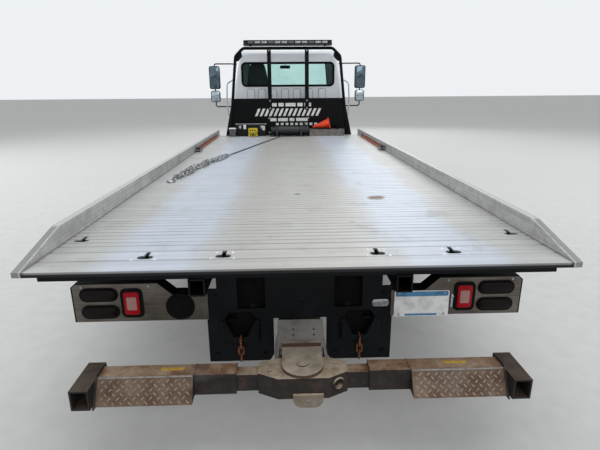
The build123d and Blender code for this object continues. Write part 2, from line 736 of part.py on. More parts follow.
def mirror_set(side):
    post_x = CAB_HALF - 60
    head_x = MIRROR_OUTER - 105
    arm_y = MIRROR_Y - 130
    upper = [(post_x - 100, arm_y, 2262), (post_x + 150, arm_y, 2284), (head_x, MIRROR_Y, 2292),
             (head_x, MIRROR_Y, 2235)]
    lower = [(post_x, arm_y, 1465), (head_x, MIRROR_Y, 1465), (head_x, MIRROR_Y, 1565)]
    shapes = [round_path(upper, 40, 12) - cab_body(0), round_path(lower, 40, 12) - cab_body(0)]
    head = block((MIRROR_OUTER - 210, MIRROR_OUTER), (MIRROR_Y - 40, MIRROR_Y + 40), (1808, 2250))
    head = fillet(head.edges().filter_by(Axis.Y), 40)
    small = block((MIRROR_OUTER - 198, MIRROR_OUTER - 12), (MIRROR_Y - 35, MIRROR_Y + 35), (1552, 1778))
    small = fillet(small.edges().filter_by(Axis.Y), 50)
    stem = bar_z(head_x, MIRROR_Y, (1770, 1816), 12)
    shape = fuse(shapes + [head, small, stem])
    return shape if side > 0 else mirrored(shape)


def dashboard():
    dash = side_outline(
        [
            (FIREWALL_Y - CAB_WALL, 1200), (FIREWALL_Y - CAB_WALL, 1580), (3200, 1600), (3020, 1500),
            (3000, 1350), (3150, 1200),
        ],
        (-960, 960),
    )
    place = Pos(-480, 2860, 1480) * Rot(40, 0, 0)
    column = place * Pos(0, 0, -150) * Cylinder(28, 300)
    wheel = place * Torus(210, 16)
    spoke = place * Box(420, 50, 16)
    return fuse([dash, column, wheel, spoke])


def seats():
    """Driver's seat and wider passenger seat, each a cushion, a back and a headrest on a pedestal."""
    shapes = []
    for x, half in SEATS:
        sides = (x - half, x + half)
        cushion = block(sides, (2450, 2950), (1120, 1270))
        cushion = fillet(cushion.faces().sort_by(Axis.Z)[-1].edges(), 40)
        back = side_outline([(2420, 1250), (2560, 1250), (2470, 1900), (2360, 1900)], sides, (0, 0, 40, 0))
        pedestal = block((x - 180, x + 180), (2550, 2850), (CAB_FLOOR_Z + CAB_WALL, 1125))
        head_x = (x - 140, x + 140)
        head = side_outline([(2350, 1880), (2450, 1880), (2430, 2110), (2350, 2110)], head_x, (0, 0, 35, 35))
        shapes.append(fuse([cushion, back, pedestal, head]))
    return shapes


def grab_rails():
    x = CAB_HALF + 95
    y = 2240
    points = [
        (CAB_HALF - 75, y, 2000), (x, y, 1900), (x + 15, y, 1620), (x, y, 1330), (CAB_HALF - 10, y, 1250),
    ]
    rail = round_path(points, 60, 14)
    return pair(rail - cab_body(0))


# Hood with both fenders


def hood_half_section(half, top, bottom):
    return [
        (-half, bottom), (-half, top - 230), (-half + 90, top - 70), (-half + 330, top),
        (half - 330, top), (half - 90, top - 70), (half, top - 230), (half, bottom),
    ]


def hood_core(inset):
    crown = HOOD_CROWN - inset
    radii = (0, crown, crown, crown, crown, crown, crown, 0)
    sections = []
    for y, half, top in HOOD_SECTIONS:
        points = hood_half_section(half - inset, top - inset, HOOD_SIDE_Z - 20 - inset)
        flat = flat_shape(points, radii)
        sections.append(Plane((0, y, 0), x_dir=(1, 0, 0), z_dir=(0, -1, 0)) * flat)
    return loft(sections, ruled=True)


def fender(inset):
    """Right fender: round in side view, with its outer edge rounded over."""
    foot = HOOD_SIDE_Z - 40 - inset
    front = HOOD_FRONT_Y - inset
    points = [
        (HOOD_REAR_Y, foot), (HOOD_REAR_Y, 1150 - inset), (3700, 1215 - inset), (4100, 1200 - inset),
        (4560 - inset, 1080 - inset), (front, 960), (front, foot),
    ]
    body = side_outline(points, (500, FENDER_HALF - inset), (0, 0, 200, 200, 120, 60, 0))
    edges = [
        edge for edge in body.faces().sort_by(Axis.X)[-1].edges()
        if edge.center().Y > HOOD_REAR_Y + 1 and edge.center().Z > foot + 1
    ]
    return fillet(edges, FENDER_EDGE - inset)


def hood():
    outer = fuse([hood_core(0)] + pair(fender(0)))
    inner = fuse([hood_core(HOOD_SHELL)] + pair(fender(HOOD_SHELL)))
    front_wall = block((-1300, 1300), (HOOD_FRONT_Y - HOOD_SHELL, HOOD_FRONT_Y + 10), (0, 2000))
    shell = outer - (inner - front_wall)
    shell -= bar_x((-1300, 1300), FRONT_AXLE_Y, TYRE_RADIUS, ARCH_RADIUS)
    grille_hole = block((-GRILLE_HALF, GRILLE_HALF), (HOOD_FRONT_Y - 80, HOOD_FRONT_Y + 20), GRILLE_Z)
    shell -= grille_hole
    shell -= block((-2000, 2000), (HOOD_REAR_Y - 100, HOOD_FRONT_Y + 100), (-100, HOOD_SIDE_Z))
    shell -= block((-2000, 2000), (HOOD_FRONT_Y - 90, HOOD_FRONT_Y + 100), (-100, HOOD_FRONT_Z))
    pin_y, pin_z = HOOD_PIN
    ear = block((345, 365), (HOOD_FRONT_Y - 5, pin_y + 14), (pin_z - 14, pin_z + 14))
    pin = bar_x((350, 402), pin_y, pin_z, HOOD_PIN_RADIUS)
    return fuse([shell] + pair(ear) + pair(pin))


def grille():
    low, high = GRILLE_Z
    half = GRILLE_HALF
    frame = block((-half, half), (HOOD_FRONT_Y - 50, HOOD_FRONT_Y - 10), (low, high))
    frame -= block((-half + 36, half - 36), (HOOD_FRONT_Y - 60, HOOD_FRONT_Y), (low + 36, high - 36))
    shapes = [frame]
    for index in range(6):
        z = low + 58 + index * 46
        shapes.append(block((-half + 34, half - 34), (HOOD_FRONT_Y - 45, HOOD_FRONT_Y - 15), (z, z + 18)))
    return fuse(shapes)


def headlamps():
    lamp = block((720, 1040), (HOOD_FRONT_Y, HOOD_FRONT_Y + 20), (780, 935))
    return pair(fillet(lamp.edges().filter_by(Axis.Y), 30))


# Knuckles and wheels

def knuckle(side):
    body = block((KING_X - 40, KING_X + 50), (FRONT_AXLE_Y - 60, FRONT_AXLE_Y + 60), (270, 500))
    body -= block((KING_X - 50, KING_X + 38), (FRONT_AXLE_Y - 70, FRONT_AXLE_Y + 70), (318, 452))
    body -= bar_z(KING_X, FRONT_AXLE_Y, (260, 510), KING_RADIUS + PIN_FIT)
    spindle = bar_x((KING_X + 40, FRONT_TRACK_HALF + 25), FRONT_AXLE_Y, TYRE_RADIUS, SPINDLE_RADIUS)
    shape = body + spindle
    return shape if side > 0 else mirrored(shape)


def tyre(centre_x, centre_y):
    half = TYRE_WIDTH / 2
    bore = RIM_RADIUS + RIM_FIT
    profile = [
        (-half + 25, bore), (-half, bore + 70), (-half + 8, TYRE_RADIUS - 45), (-half + 30, TYRE_RADIUS - 8),
        (-half + 60, TYRE_RADIUS), (half - 60, TYRE_RADIUS), (half - 30, TYRE_RADIUS - 8),
        (half - 8, TYRE_RADIUS - 45), (half, bore + 70), (half - 25, bore),
    ]
    face = make_face(Polyline(*[(x, 0, z) for x, z in profile], close=True))
    return Pos(centre_x, centre_y, TYRE_RADIUS) * revolve(face, Axis.X, 360)


def rim(centre_x, centre_y, dish):
    """Steel disc wheel; dish is how far its mounting face lies from the middle of the rim."""
    side = 1 if dish > 0 else -1
    reach = abs(dish)
    half = RIM_HALF
    profile = [
        (-half, RIM_RADIUS), (half, RIM_RADIUS), (half, RIM_RADIUS - 12), (reach, 165), (reach, 60),
        (reach - 14, 60), (reach - 14, 155), (half - 20, RIM_RADIUS - 12), (-half, RIM_RADIUS - 12),
    ]
    face = make_face(Polyline(*[(side * x, 0, z) for x, z in profile], close=True))
    wheel = revolve(face, Axis.X, 360)
    for index in range(8):
        angle = math.radians(45 * index)
        hole = bar_x((half - 30, reach + 30), 195 * math.cos(angle), 195 * math.sin(angle), 22)
        wheel -= hole if side > 0 else mirrored(hole)
    return Pos(centre_x, centre_y, TYRE_RADIUS) * wheel


def front_rim(side):
    wheel = rim(FRONT_TRACK_HALF, FRONT_AXLE_Y, 110.0)
    hub = bar_x((FRONT_TRACK_HALF - 60, FRONT_TRACK_HALF + 165), FRONT_AXLE_Y, TYRE_RADIUS, HUB_RADIUS)
    bore_x = (FRONT_TRACK_HALF - 70, FRONT_TRACK_HALF + 26)
    hub -= bar_x(bore_x, FRONT_AXLE_Y, TYRE_RADIUS, SPINDLE_RADIUS + PIN_FIT)
    shape = wheel + hub
    return shape if side > 0 else mirrored(shape)


def rear_rims(side):
    meet = (DUAL_INNER_X + DUAL_OUTER_X) / 2
    inner = rim(DUAL_INNER_X, REAR_AXLE_Y, meet - DUAL_INNER_X)
    outer = rim(DUAL_OUTER_X, REAR_AXLE_Y, meet - DUAL_OUTER_X)
    hub = bar_x((REAR_HUB_X, DUAL_OUTER_X + 60), REAR_AXLE_Y, TYRE_RADIUS, HUB_RADIUS)
    shape = fuse([inner, outer, hub])
    return shape if side > 0 else mirrored(shape)


# Tilt frame

def tilt_frame():
    rail = tube_y(TILT_X, (TILT_REAR_Y, TILT_FRONT_Y), TILT_Z, TILT_WALL)
    low = TILT_Z[0]
    heel = [(TILT_REAR_Y, low + TILT_HEEL), (TILT_REAR_Y + TILT_HEEL, low), (TILT_REAR_Y, low)]
    shapes = pair(rail - side_outline(heel, (TILT_X[0] - 5, TILT_X[1] + 5)))
    inner = TILT_X[0] + 2
    for y in (-3650, -2600, -1500, -300, 900, TILT_FRONT_Y - 60):
        shapes.append(block((-inner, inner), (y - 40, y + 40), (TILT_Z[0] - 38, TILT_Z[0] + 12)))
    strip_z = (TILT_Z[1], SILL_Z[1] - STRIP_GAP)
    strip = block((TILT_X[0] + 10, TILT_X[1] - 10), (TILT_REAR_Y + 20, TILT_FRONT_Y - 20), strip_z)
    shapes += pair(strip)
    shapes += pair(bar_x((TILT_X[0] + 4, FRAME_HALF + 24), PIVOT_Y, PIVOT_Z, PIVOT_RADIUS))
    eye_y = CYL_EYE[0]
    cheek = [(eye_y - 90, TILT_Z[0] + 9), (eye_y + 90, TILT_Z[0] + 9), (eye_y + 45, 700), (eye_y - 45, 700)]
    shapes += pair(block((TILT_X[0] + 5, 568), (eye_y - 90, eye_y + 90), (TILT_Z[0] - 3, TILT_Z[0] + 9)))
    shapes += pair(side_outline(cheek, (440, 458)))
    shapes += pair(side_outline(cheek, (552, 568)))
    return fuse(shapes)


# Tilt cylinders, drawn level and then laid from the base pin to the rod eye

CYL_LENGTH = math.hypot(CYL_EYE[0] - CYL_BASE[0], CYL_EYE[1] - CYL_BASE[1])
CYL_ANGLE = math.degrees(math.atan2(CYL_EYE[1] - CYL_BASE[1], CYL_EYE[0] - CYL_BASE[0]))


def lay_cylinder(shape):
    return Pos(0, CYL_BASE[0], CYL_BASE[1]) * Rot(CYL_ANGLE, 0, 0) * shape


def tilt_barrel():
    eye = bar_x((CYL_X - EYE_HALF_WIDTH, CYL_X + EYE_HALF_WIDTH), 0, 0, EYE_RADIUS)
    tube = bar_y(CYL_X, (20, BARREL_LENGTH), 0, BARREL_RADIUS)
    shape = eye + tube
    shape -= bar_y(CYL_X, (60, BARREL_LENGTH + 5), 0, BARREL_BORE)
    shape -= bar_x((CYL_X - 60, CYL_X + 60), 0, 0, CYL_PIN_RADIUS + PIN_FIT)
    return lay_cylinder(shape)


def tilt_rod():
    eye = bar_x((CYL_X - EYE_HALF_WIDTH, CYL_X + EYE_HALF_WIDTH), CYL_LENGTH, 0, EYE_RADIUS)
    rod = bar_y(CYL_X, (100, CYL_LENGTH), 0, ROD_RADIUS)
    piston = bar_y(CYL_X, (75, 130), 0, BARREL_BORE - PIN_FIT)
    return lay_cylinder(fuse([eye, rod, piston]))


# Bed

def keyhole(x, y):
    """Oval hole with a slot ahead of it, for a chain link or a hook."""
    depth = (DECK_TOP - 60, DECK_TOP + 10)
    oval_x = (x - KEY_HALF_WIDTH, x + KEY_HALF_WIDTH)
    oval = block(oval_x, (y - KEY_HALF_LENGTH, y + KEY_HALF_LENGTH), depth)
    hole = fillet(oval.edges().filter_by(Axis.Z), KEY_HALF_LENGTH - 1)
    slot = block((x - KEY_SLOT_HALF, x + KEY_SLOT_HALF), (y, y + KEY_SLOT_REACH), depth)
    return hole + slot


KEYHOLES = (
    # x, distance ahead of the tail
    (-1174.0, 447.0), (1174.0, 447.0),
    (-753.0, 170.0), (-377.0, 170.0), (377.0, 170.0), (753.0, 170.0),
)


def deck_floor():
    """Extruded planks: two plain ones at the tail, then a shallow groove at each plank's edge."""
    half = DECK_WIDTH / 2 - RAIL_THICK
    front = TAIL_Y + DECK_LENGTH + DECK_LIP
    starts = list(PLAIN_SEAMS)
    starts += [GROOVE_START + GROOVE_PITCH * index for index in range(GROOVE_COUNT)]
    points = [(front, DECK_TOP - DECK_THICK), (TAIL_Y, DECK_TOP - DECK_THICK), (TAIL_Y, DECK_TOP)]
    for ahead in starts:
        y = TAIL_Y + ahead
        points += [
            (y, DECK_TOP), (y + GROOVE_SLOPE, DECK_TOP - GROOVE_DEPTH),
            (y + GROOVE_WIDTH - GROOVE_SLOPE, DECK_TOP - GROOVE_DEPTH), (y + GROOVE_WIDTH, DECK_TOP),
        ]
    points.append((front, DECK_TOP))
    floor = side_outline(points, (-half, half))
    for x, ahead in KEYHOLES:
        floor -= keyhole(x, TAIL_Y + ahead)
    return floor


def side_rails():
    half = DECK_WIDTH / 2
    top = DECK_TOP + RAIL_HEIGHT
    front = TAIL_Y + DECK_LENGTH + DECK_LIP
    profile = [
        (TAIL_Y, DECK_TOP), (TAIL_Y + RAIL_TAPER, top), (front, top), (front, DECK_TOP - RAIL_SKIRT),
        (TAIL_Y + RAIL_TAPER, DECK_TOP - RAIL_SKIRT), (TAIL_Y, DECK_TOP - DECK_THICK),
    ]
    return pair(side_outline(profile, (half - RAIL_THICK, half)))


def bed_sills():
    sill_y = (TAIL_Y + 110, HEAD_Y - 40)
    return pair(tube_y(SILL_X, sill_y, SILL_Z, SILL_WALL))


def bed_crossbeams():
    half = DECK_WIDTH / 2 - RAIL_THICK
    beam_z = (SILL_Z[1], DECK_TOP - DECK_THICK)
    beams = []
    count = int((DECK_LENGTH - 150) // BEAM_PITCH) + 1
    for index in range(count):
        y = TAIL_Y + 150 + index * BEAM_PITCH
        beam = block((-half, half), (y - BEAM_WIDTH / 2, y + BEAM_WIDTH / 2), beam_z)
        hollow_y = (y - BEAM_WIDTH / 2 + BEAM_WALL, y + BEAM_WIDTH / 2 + 1)
        hollow_z = (beam_z[0] + BEAM_WALL, beam_z[1] - BEAM_WALL)
        beams.append(beam - block((-half - 1, half + 1), hollow_y, hollow_z))
    return beams


def headboard():
    y = HEAD_Y
    tube = round_path(
        [
            (-HEAD_PANEL_HALF - 60, y, DECK_TOP), (-HEAD_SHOULDER_HALF, y, HEAD_CORNER_Z),
            (-HEAD_TOP_HALF, y, HEAD_TOP_Z), (HEAD_TOP_HALF, y, HEAD_TOP_Z),
            (HEAD_SHOULDER_HALF, y, HEAD_CORNER_Z), (HEAD_PANEL_HALF + 60, y, DECK_TOP),
        ],
        90, HEAD_TUBE,
    )
    panel = rear_outline(
        [
            (-HEAD_BASE_HALF, DECK_TOP), (HEAD_BASE_HALF, DECK_TOP), (HEAD_PANEL_HALF, PANEL_TOP_Z),
            (-HEAD_PANEL_HALF, PANEL_TOP_Z),
        ],
        (y - 6, y + 6),
    )
    shapes = [tube, panel]
    for side in (-1, 1):
        x = side * HEAD_BAR_X
        bar_sides = (x - HEAD_BAR_WIDTH / 2, x + HEAD_BAR_WIDTH / 2)
        shapes.append(block(bar_sides, (y - 18, y + 18), (PANEL_TOP_Z - 200, HEAD_TOP_Z)))
        leg = side * LIGHT_LEG_X
        shapes.append(block((leg - 12, leg + 12), (y - 30, y + 30), (HEAD_TOP_Z, LIGHT_BAR_Z[0])))
    gusset = [(905, 2250), (855, 2262), (785, 2335), (800, 2420), (905, 2350)]
    shapes += pair(rear_outline(gusset, (y - 5, y + 5)))
    below = block((-1400, 1400), (y - 200, y + 200), (DECK_TOP - 200, DECK_TOP))
    return fuse(shapes) - below


def light_bar():
    """Base, lens band and cover, one over another, all round-cornered."""
    shapes = []
    for inset, low, high in LIGHT_BAR_LAYERS:
        half = LIGHT_BAR_LENGTH / 2 - inset
        deep = LIGHT_BAR_DEPTH / 2 - inset
        z = (LIGHT_BAR_Z[0] + low, LIGHT_BAR_Z[0] + high)
        layer = block((-half, half), (HEAD_Y - deep, HEAD_Y + deep), z)
        shapes.append(fillet(layer.edges().filter_by(Axis.Z), 60 - inset))
    return fuse(shapes)


def winch():
    """Drum between two housings on a base, its gearbox on the right and its motor on the left."""
    y = HEAD_Y - 190
    z = DECK_TOP + WINCH_HEIGHT
    shapes = [
        bar_x((-200, 200), y, z, WINCH_DRUM), bar_x((-200, -188), y, z, WINCH_FLANGE),
        bar_x((188, 200), y, z, WINCH_FLANGE), bar_x((196, 340), y, z, 80),
        bar_x((330, 352), y, z, 48),
        bar_x((-310, -196), y, z, 62),
        block((-330, 330), (y - 100, y - 60), (DECK_TOP, DECK_TOP + 12)),
        block((-330, 330), (y + 60, y + 100), (DECK_TOP, DECK_TOP + 60)),
    ]
    for side_x in ((-222, -198), (198, 222)):
        shapes.append(side_outline(
            [(y - 100, DECK_TOP), (y + 100, DECK_TOP), (y + 80, z + 60), (y - 60, z + 60)], side_x, 8
        ))
    return fuse(shapes)


# Winch rope and the chain on its end

ROPE_RADIUS = 7.0
ROPE_POINTS = (
    (-120.0, 1590.0, 1032.6), (-128.0, 1500.0, 1028.0), (-150.0, 1400.0, 1015.0), (-190.0, 1270.0, 1007.6),
    (-240.0, 1090.0, 1007.6), (-298.0, 900.0, 1007.6), (-350.0, 700.0, 1007.6), (-408.0, 500.0, 1007.6),
    (-455.0, 300.0, 1007.6), (-512.0, 100.0, 1007.6), (-556.0, -100.0, 1007.6), (-612.0, -300.0, 1007.6),
    (-662.0, -500.0, 1007.6), (-715.0, -690.0, 1007.6), (-760.0, -870.0, 1007.6),
)
CHAIN_POINTS = (
    (-775.0, -930.0), (-850.0, -1250.0), (-960.0, -1620.0), (-1030.0, -2050.0), (-1085.0, -2560.0),
)
LINK_LENGTH = 60.0
LINK_WIDTH = 36.0
LINK_WIRE = 10.0
LINK_SLACK = 0.8


def corner_radii(points):
    """The largest even radius at each corner: 0.45 of the shorter run over the half turn's tangent."""
    vectors = [Vector(*b) - Vector(*a) for a, b in zip(points, points[1:])]
    radii = []
    for before, after in zip(vectors, vectors[1:]):
        half_turn = math.radians(before.get_angle(after)) / 2
        radii.append(0.45 * min(before.length, after.length) / math.tan(half_turn))
    return radii


def winch_rope():
    radii = corner_radii(ROPE_POINTS)
    path = FilletPolyline(*ROPE_POINTS, radius=radii)
    print("rope length", round(path.length, 1), "radii", [round(radius, 1) for radius in radii])
    start = Plane(origin=path @ 0, z_dir=path % 0)
    return sweep(start * Circle(ROPE_RADIUS), path=path)


def ring_outline(length, width, cut):
    x, y = length / 2, width / 2
    return [
        (x, y - cut), (x - cut, y), (-x + cut, y), (-x, y - cut),
        (-x, -y + cut), (-x + cut, -y), (x - cut, -y), (x, -y + cut),
    ]


def chain_link():
    """One flat link, lying level, long way along X."""
    half = LINK_WIRE / 2
    outer = plan_outline(ring_outline(LINK_LENGTH, LINK_WIDTH, 11), (-half, half))
    hole_length = LINK_LENGTH - 2 * LINK_WIRE
    hole_width = LINK_WIDTH - 2 * LINK_WIRE
    return outer - plan_outline(ring_outline(hole_length, hole_width, 4), (-half - 1, half + 1))


def deck_chain():
    """Links stand and lie in turn along the deck, each through the next one's hole."""
    pitch = LINK_LENGTH - 2 * LINK_WIRE - LINK_SLACK
    route = FilletPolyline(*[(x, y, 0) for x, y in CHAIN_POINTS], radius=900)
    count = int(route.length // pitch)
    height = DECK_TOP + STRIP_GAP + LINK_WIDTH / 2
    link = chain_link()
    links = []
    for index in range(count):
        spot = route.position_at(index * pitch, position_mode=PositionMode.LENGTH)
        heading = route.tangent_at(index * pitch, position_mode=PositionMode.LENGTH)
        turn = math.degrees(math.atan2(heading.Y, heading.X))
        roll = 90 if index % 2 == 0 else 0
        links.append(Pos(spot.X, spot.Y, height) * Rot(0, 0, turn) * Rot(roll, 0, 0) * link)
    return links


def cone():
    """Road cone lying on its side, its tip to the left."""
    lean = math.degrees(math.atan2(CONE_RADIUS - 15, CONE_LENGTH))
    foot = Pos(0, 0, -CONE_LENGTH / 2 - 5) * Box(CONE_FOOT, CONE_FOOT, 14)
    body = Cone(CONE_RADIUS, 15, CONE_LENGTH) + foot
    height = DECK_TOP + TRAY_HEIGHT + CONE_RADIUS - 16
    return Pos(CONE_X, GEAR_Y + 20, height) * Rot(0, -90 - lean, 0) * body


def gear_tray():
    """Open tray with a coil of strap and the road cone lying in it."""
    rear, front = GEAR_Y - 90, GEAR_Y + 110
    wall = TRAY_WALL
    tray = block(TRAY_X, (rear, front), (DECK_TOP, DECK_TOP + TRAY_HEIGHT))
    inside_x = (TRAY_X[0] + wall, TRAY_X[1] - wall)
    inside_z = (DECK_TOP + wall, DECK_TOP + TRAY_HEIGHT + 5)
    tray -= block(inside_x, (rear + wall, front - wall), inside_z)
    coil_z = DECK_TOP + COIL_RADIUS + 20
    coil = Pos(COIL_X, GEAR_Y + 60, coil_z) * Rot(78, 0, 0) * Torus(COIL_RADIUS, COIL_WIRE)
    return fuse([tray, coil, cone()])


def stowed_gear():
    """Chest with a bar on it, control box and bucket at the headboard, and a strap along each side rail."""
    y = GEAR_Y
    chest_top = DECK_TOP + CHEST_HEIGHT
    chest = block(CHEST_X, (y + 20, y + 130), (DECK_TOP, chest_top))
    bar = bar_x((CHEST_X[0] - 10, CHEST_X[1] + 5), y + 60, chest_top + 11, 12)
    tag_x = (CHEST_X[0] + 130, CHEST_X[0] + 175)
    tag = block(tag_x, (y + 12, y + 22), (DECK_TOP + 120, chest_top + 5))
    control = block(CONTROL_X, (y - 120, y + 10), (DECK_TOP, DECK_TOP + CONTROL_HEIGHT))
    bucket_x, bucket_radius, bucket_height = BUCKET
    bucket = bar_z(bucket_x, y, (DECK_TOP, DECK_TOP + bucket_height), bucket_radius)
    shapes = [fuse([chest, bar, tag]), control, bucket]
    inner = DECK_WIDTH / 2 - RAIL_THICK
    for side, rear_y, front_y, thick in STRAPS:
        band = block((inner - thick, inner - 1), (rear_y, front_y), (DECK_TOP, DECK_TOP + STRAP_HEIGHT))
        ratchet_y = (rear_y - 130, rear_y + 20)
        ratchet = block((inner - 75, inner - 3), ratchet_y, (DECK_TOP, DECK_TOP + RATCHET_HEIGHT))
        strap = fuse([band, fillet(ratchet.edges().filter_by(Axis.X), 20)])
        shapes.append(strap if side > 0 else mirrored(strap))
    return shapes


# Tail plate, lamps and their brackets

def tail_plate():
    y = (TAIL_PLATE_Y, TAIL_PLATE_Y + TAIL_PLATE_THICK)
    low, high = TAIL_PLATE_Z
    plate = rear_outline(
        [
            (-TAIL_PLATE_HALF, low), (-BOOM_GAP_HALF - 25, low), (-BOOM_GAP_HALF, low + 40),
            (-BOOM_GAP_HALF, BOOM_GAP_TOP), (BOOM_GAP_HALF, BOOM_GAP_TOP), (BOOM_GAP_HALF, low + 40),
            (BOOM_GAP_HALF + 25, low), (TAIL_PLATE_HALF, low), (TAIL_PLATE_HALF, TAIL_SHOULDER_Z),
            (TAIL_PLATE_NECK, TAIL_SHOULDER_Z), (TAIL_PLATE_NECK, high), (-TAIL_PLATE_NECK, high),
            (-TAIL_PLATE_NECK, TAIL_SHOULDER_Z), (-TAIL_PLATE_HALF, TAIL_SHOULDER_Z),
        ],
        y,
    )
    for recess in pair(block(RECESS_X, (y[0] - 5, y[1] + 5), (RECESS_Z, high + 5))):
        plate -= recess
    low_z, high_z = CHAIN_SLOT_Z
    cut_y = (y[0] - PAD_THICK - 5, y[1] + 20)
    for side in (-1, 1):
        x = side * CHAIN_SLOT_X
        slot = rear_outline(
            [
                (x - 62, high_z), (x + 62, high_z), (x + 84, high_z - 38), (x + 38, low_z),
                (x - 38, low_z), (x - 84, high_z - 38),
            ],
            cut_y,
        )
        pad = block((x - 112, x + 112), (y[0] - PAD_THICK, y[0] + 1), (NOTCH_Z - 12, 548))
        pad = fillet(pad.edges().filter_by(Axis.Y), 25)
        plate += chamfer(pad.faces().sort_by(Axis.Y)[0].edges(), PAD_THICK * 0.6)
        plate -= slot
        plate -= block((x - NOTCH_HALF, x + NOTCH_HALF), cut_y, (NOTCH_Z, low_z + 5))
    return plate


def light_bracket():
    """Folded stainless sheet: a face with a flange along its cranked top edge and its outer end."""
    y = TAIL_PLATE_Y
    low, high = BRACKET_Z
    inner = TAIL_PLATE_HALF - 10
    step = high - BRACKET_STEP
    top = [(inner, step), (690, step), (770, high), (BRACKET_HALF - 22, high), (BRACKET_HALF, high - 22)]
    face = [(inner, low)] + top + [(BRACKET_HALF, low)]
    plate = rear_outline(face, (y - BRACKET_WALL, y))
    under = [(x, z - BRACKET_WALL) for x, z in reversed(top)]
    under[0] = (BRACKET_HALF - BRACKET_WALL, high - 24)
    under[-1] = (TAIL_PLATE_HALF + BRACKET_GAP, step - BRACKET_WALL)
    top[0] = (TAIL_PLATE_HALF + BRACKET_GAP, step)
    fold = top + [(BRACKET_HALF, low), (BRACKET_HALF - BRACKET_WALL, low)] + under
    flange = rear_outline(fold, (y - BRACKET_WALL, y + BRACKET_FLANGE))
    return plate + flange


def tail_lamps():
    y = TAIL_PLATE_Y - BRACKET_WALL
    shapes = []
    for z in (717, 616):
        lamp = block((985, 1190), (y - 14, y), (z - 40, z + 40))
        shapes += pair(fillet(lamp.edges().filter_by(Axis.Y), 38))
    square = block((853, 973), (y - 12, y), (580, 752))
    shapes += pair(fillet(square.edges().filter_by(Axis.Y), 30))
    shapes.append(bar_y(-655, (y - 12, y), 640, 78))
    return shapes


def tail_chains():
    """A link lies through the foot of each chain slot, and three more hang from it."""
    pitch = LINK_LENGTH - 2 * LINK_WIRE - LINK_SLACK
    half_hole = LINK_LENGTH / 2 - LINK_WIRE
    shapes = []
    for side in (-1, 1):
        x = side * CHAIN_SLOT_X
        y = TAIL_PLATE_Y + TAIL_PLATE_THICK + 5 - LINK_LENGTH / 2
        z = NOTCH_Z + STRIP_GAP + LINK_WIDTH / 2
        shapes.append(Pos(x, y, z) * Rot(0, 90, 0) * Rot(0, 0, 90) * chain_link())
        y_hang = y - half_hole + LINK_SLACK + LINK_WIRE / 2
        z_hang = z - LINK_WIDTH / 2 + LINK_WIRE + STRIP_GAP - half_hole
        for index in range(3):
            turn = Rot(0, 0, 90 * ((index + 1) % 2)) * Rot(0, 90, 0)
            shapes.append(Pos(x, y_hang, z_hang - index * pitch) * turn * chain_link())
    return shapes


# Wheel lift

def boom_cheek():
    """Plate beside the boom's mouth that thickens toward its foot and reaches past the lid."""
    low = BOOM_Z[0]
    inner, lip, foot = CHEEK_X
    side = [
        (LID_FRONT_Y, low), (LID_FRONT_Y, LID_Z[1]), (BOOM_MOUTH_Y, LID_Z[0]), (CHEEK_REAR_Y, LID_Z[0] - 22),
        (CHEEK_REAR_Y, low),
    ]
    flare = [(inner, low), (foot, low), (foot, 400), (lip, LID_Z[0]), (lip, LID_Z[1]), (inner, LID_Z[1])]
    return side_outline(side, (inner, foot)) & rear_outline(flare, (CHEEK_REAR_Y, LID_FRONT_Y))


def boom_sleeve():
    y = (BOOM_MOUTH_Y, BOOM_PIVOT_Y - 60)
    tube = tube_y((-BOOM_HALF, BOOM_HALF), y, BOOM_Z, BOOM_WALL)
    closing = block((-BOOM_HALF, BOOM_HALF), (y[1] - 12, y[1]), BOOM_Z)
    eye_x = (-BOOM_HALF + 5, BOOM_HALF - 5)
    eye = bar_x(eye_x, BOOM_PIVOT_Y, BOOM_PIVOT_Z, BOOM_EYE_RADIUS)
    neck = block(eye_x, (y[1] - 5, BOOM_PIVOT_Y), (BOOM_PIVOT_Z - BOOM_EYE_RADIUS, BOOM_Z[1]))
    lid_points = [
        (BOOM_MOUTH_Y, LID_Z[0] - LID_WALL), (BOOM_MOUTH_Y, LID_Z[0]),
        (LID_FRONT_Y, LID_Z[1]), (LID_FRONT_Y, LID_Z[1] - LID_WALL),
    ]
    lid = side_outline(lid_points, (-BOOM_HALF, BOOM_HALF))
    shapes = [tube, closing, eye, neck, lid]
    for hinge_x in ((-80, -25), (25, 80)):
        shapes.append(bar_x(hinge_x, BOOM_MOUTH_Y - 6, LID_Z[0] - 1, 11))
    shape = fuse(shapes + pair(boom_cheek()))
    return shape - bar_x((-BOOM_HALF - 5, BOOM_HALF + 5), BOOM_PIVOT_Y, BOOM_PIVOT_Z, 25 + PIN_FIT)


def yoke_plate(half, z):
    """Plate over or under the crossbar with a round end about the swivel pin."""
    flat = block((-half, half), (CROSSBAR_Y, YOKE_WEB_Y[1]), z)
    return flat + bar_z(0, CROSSBAR_Y, z, half)


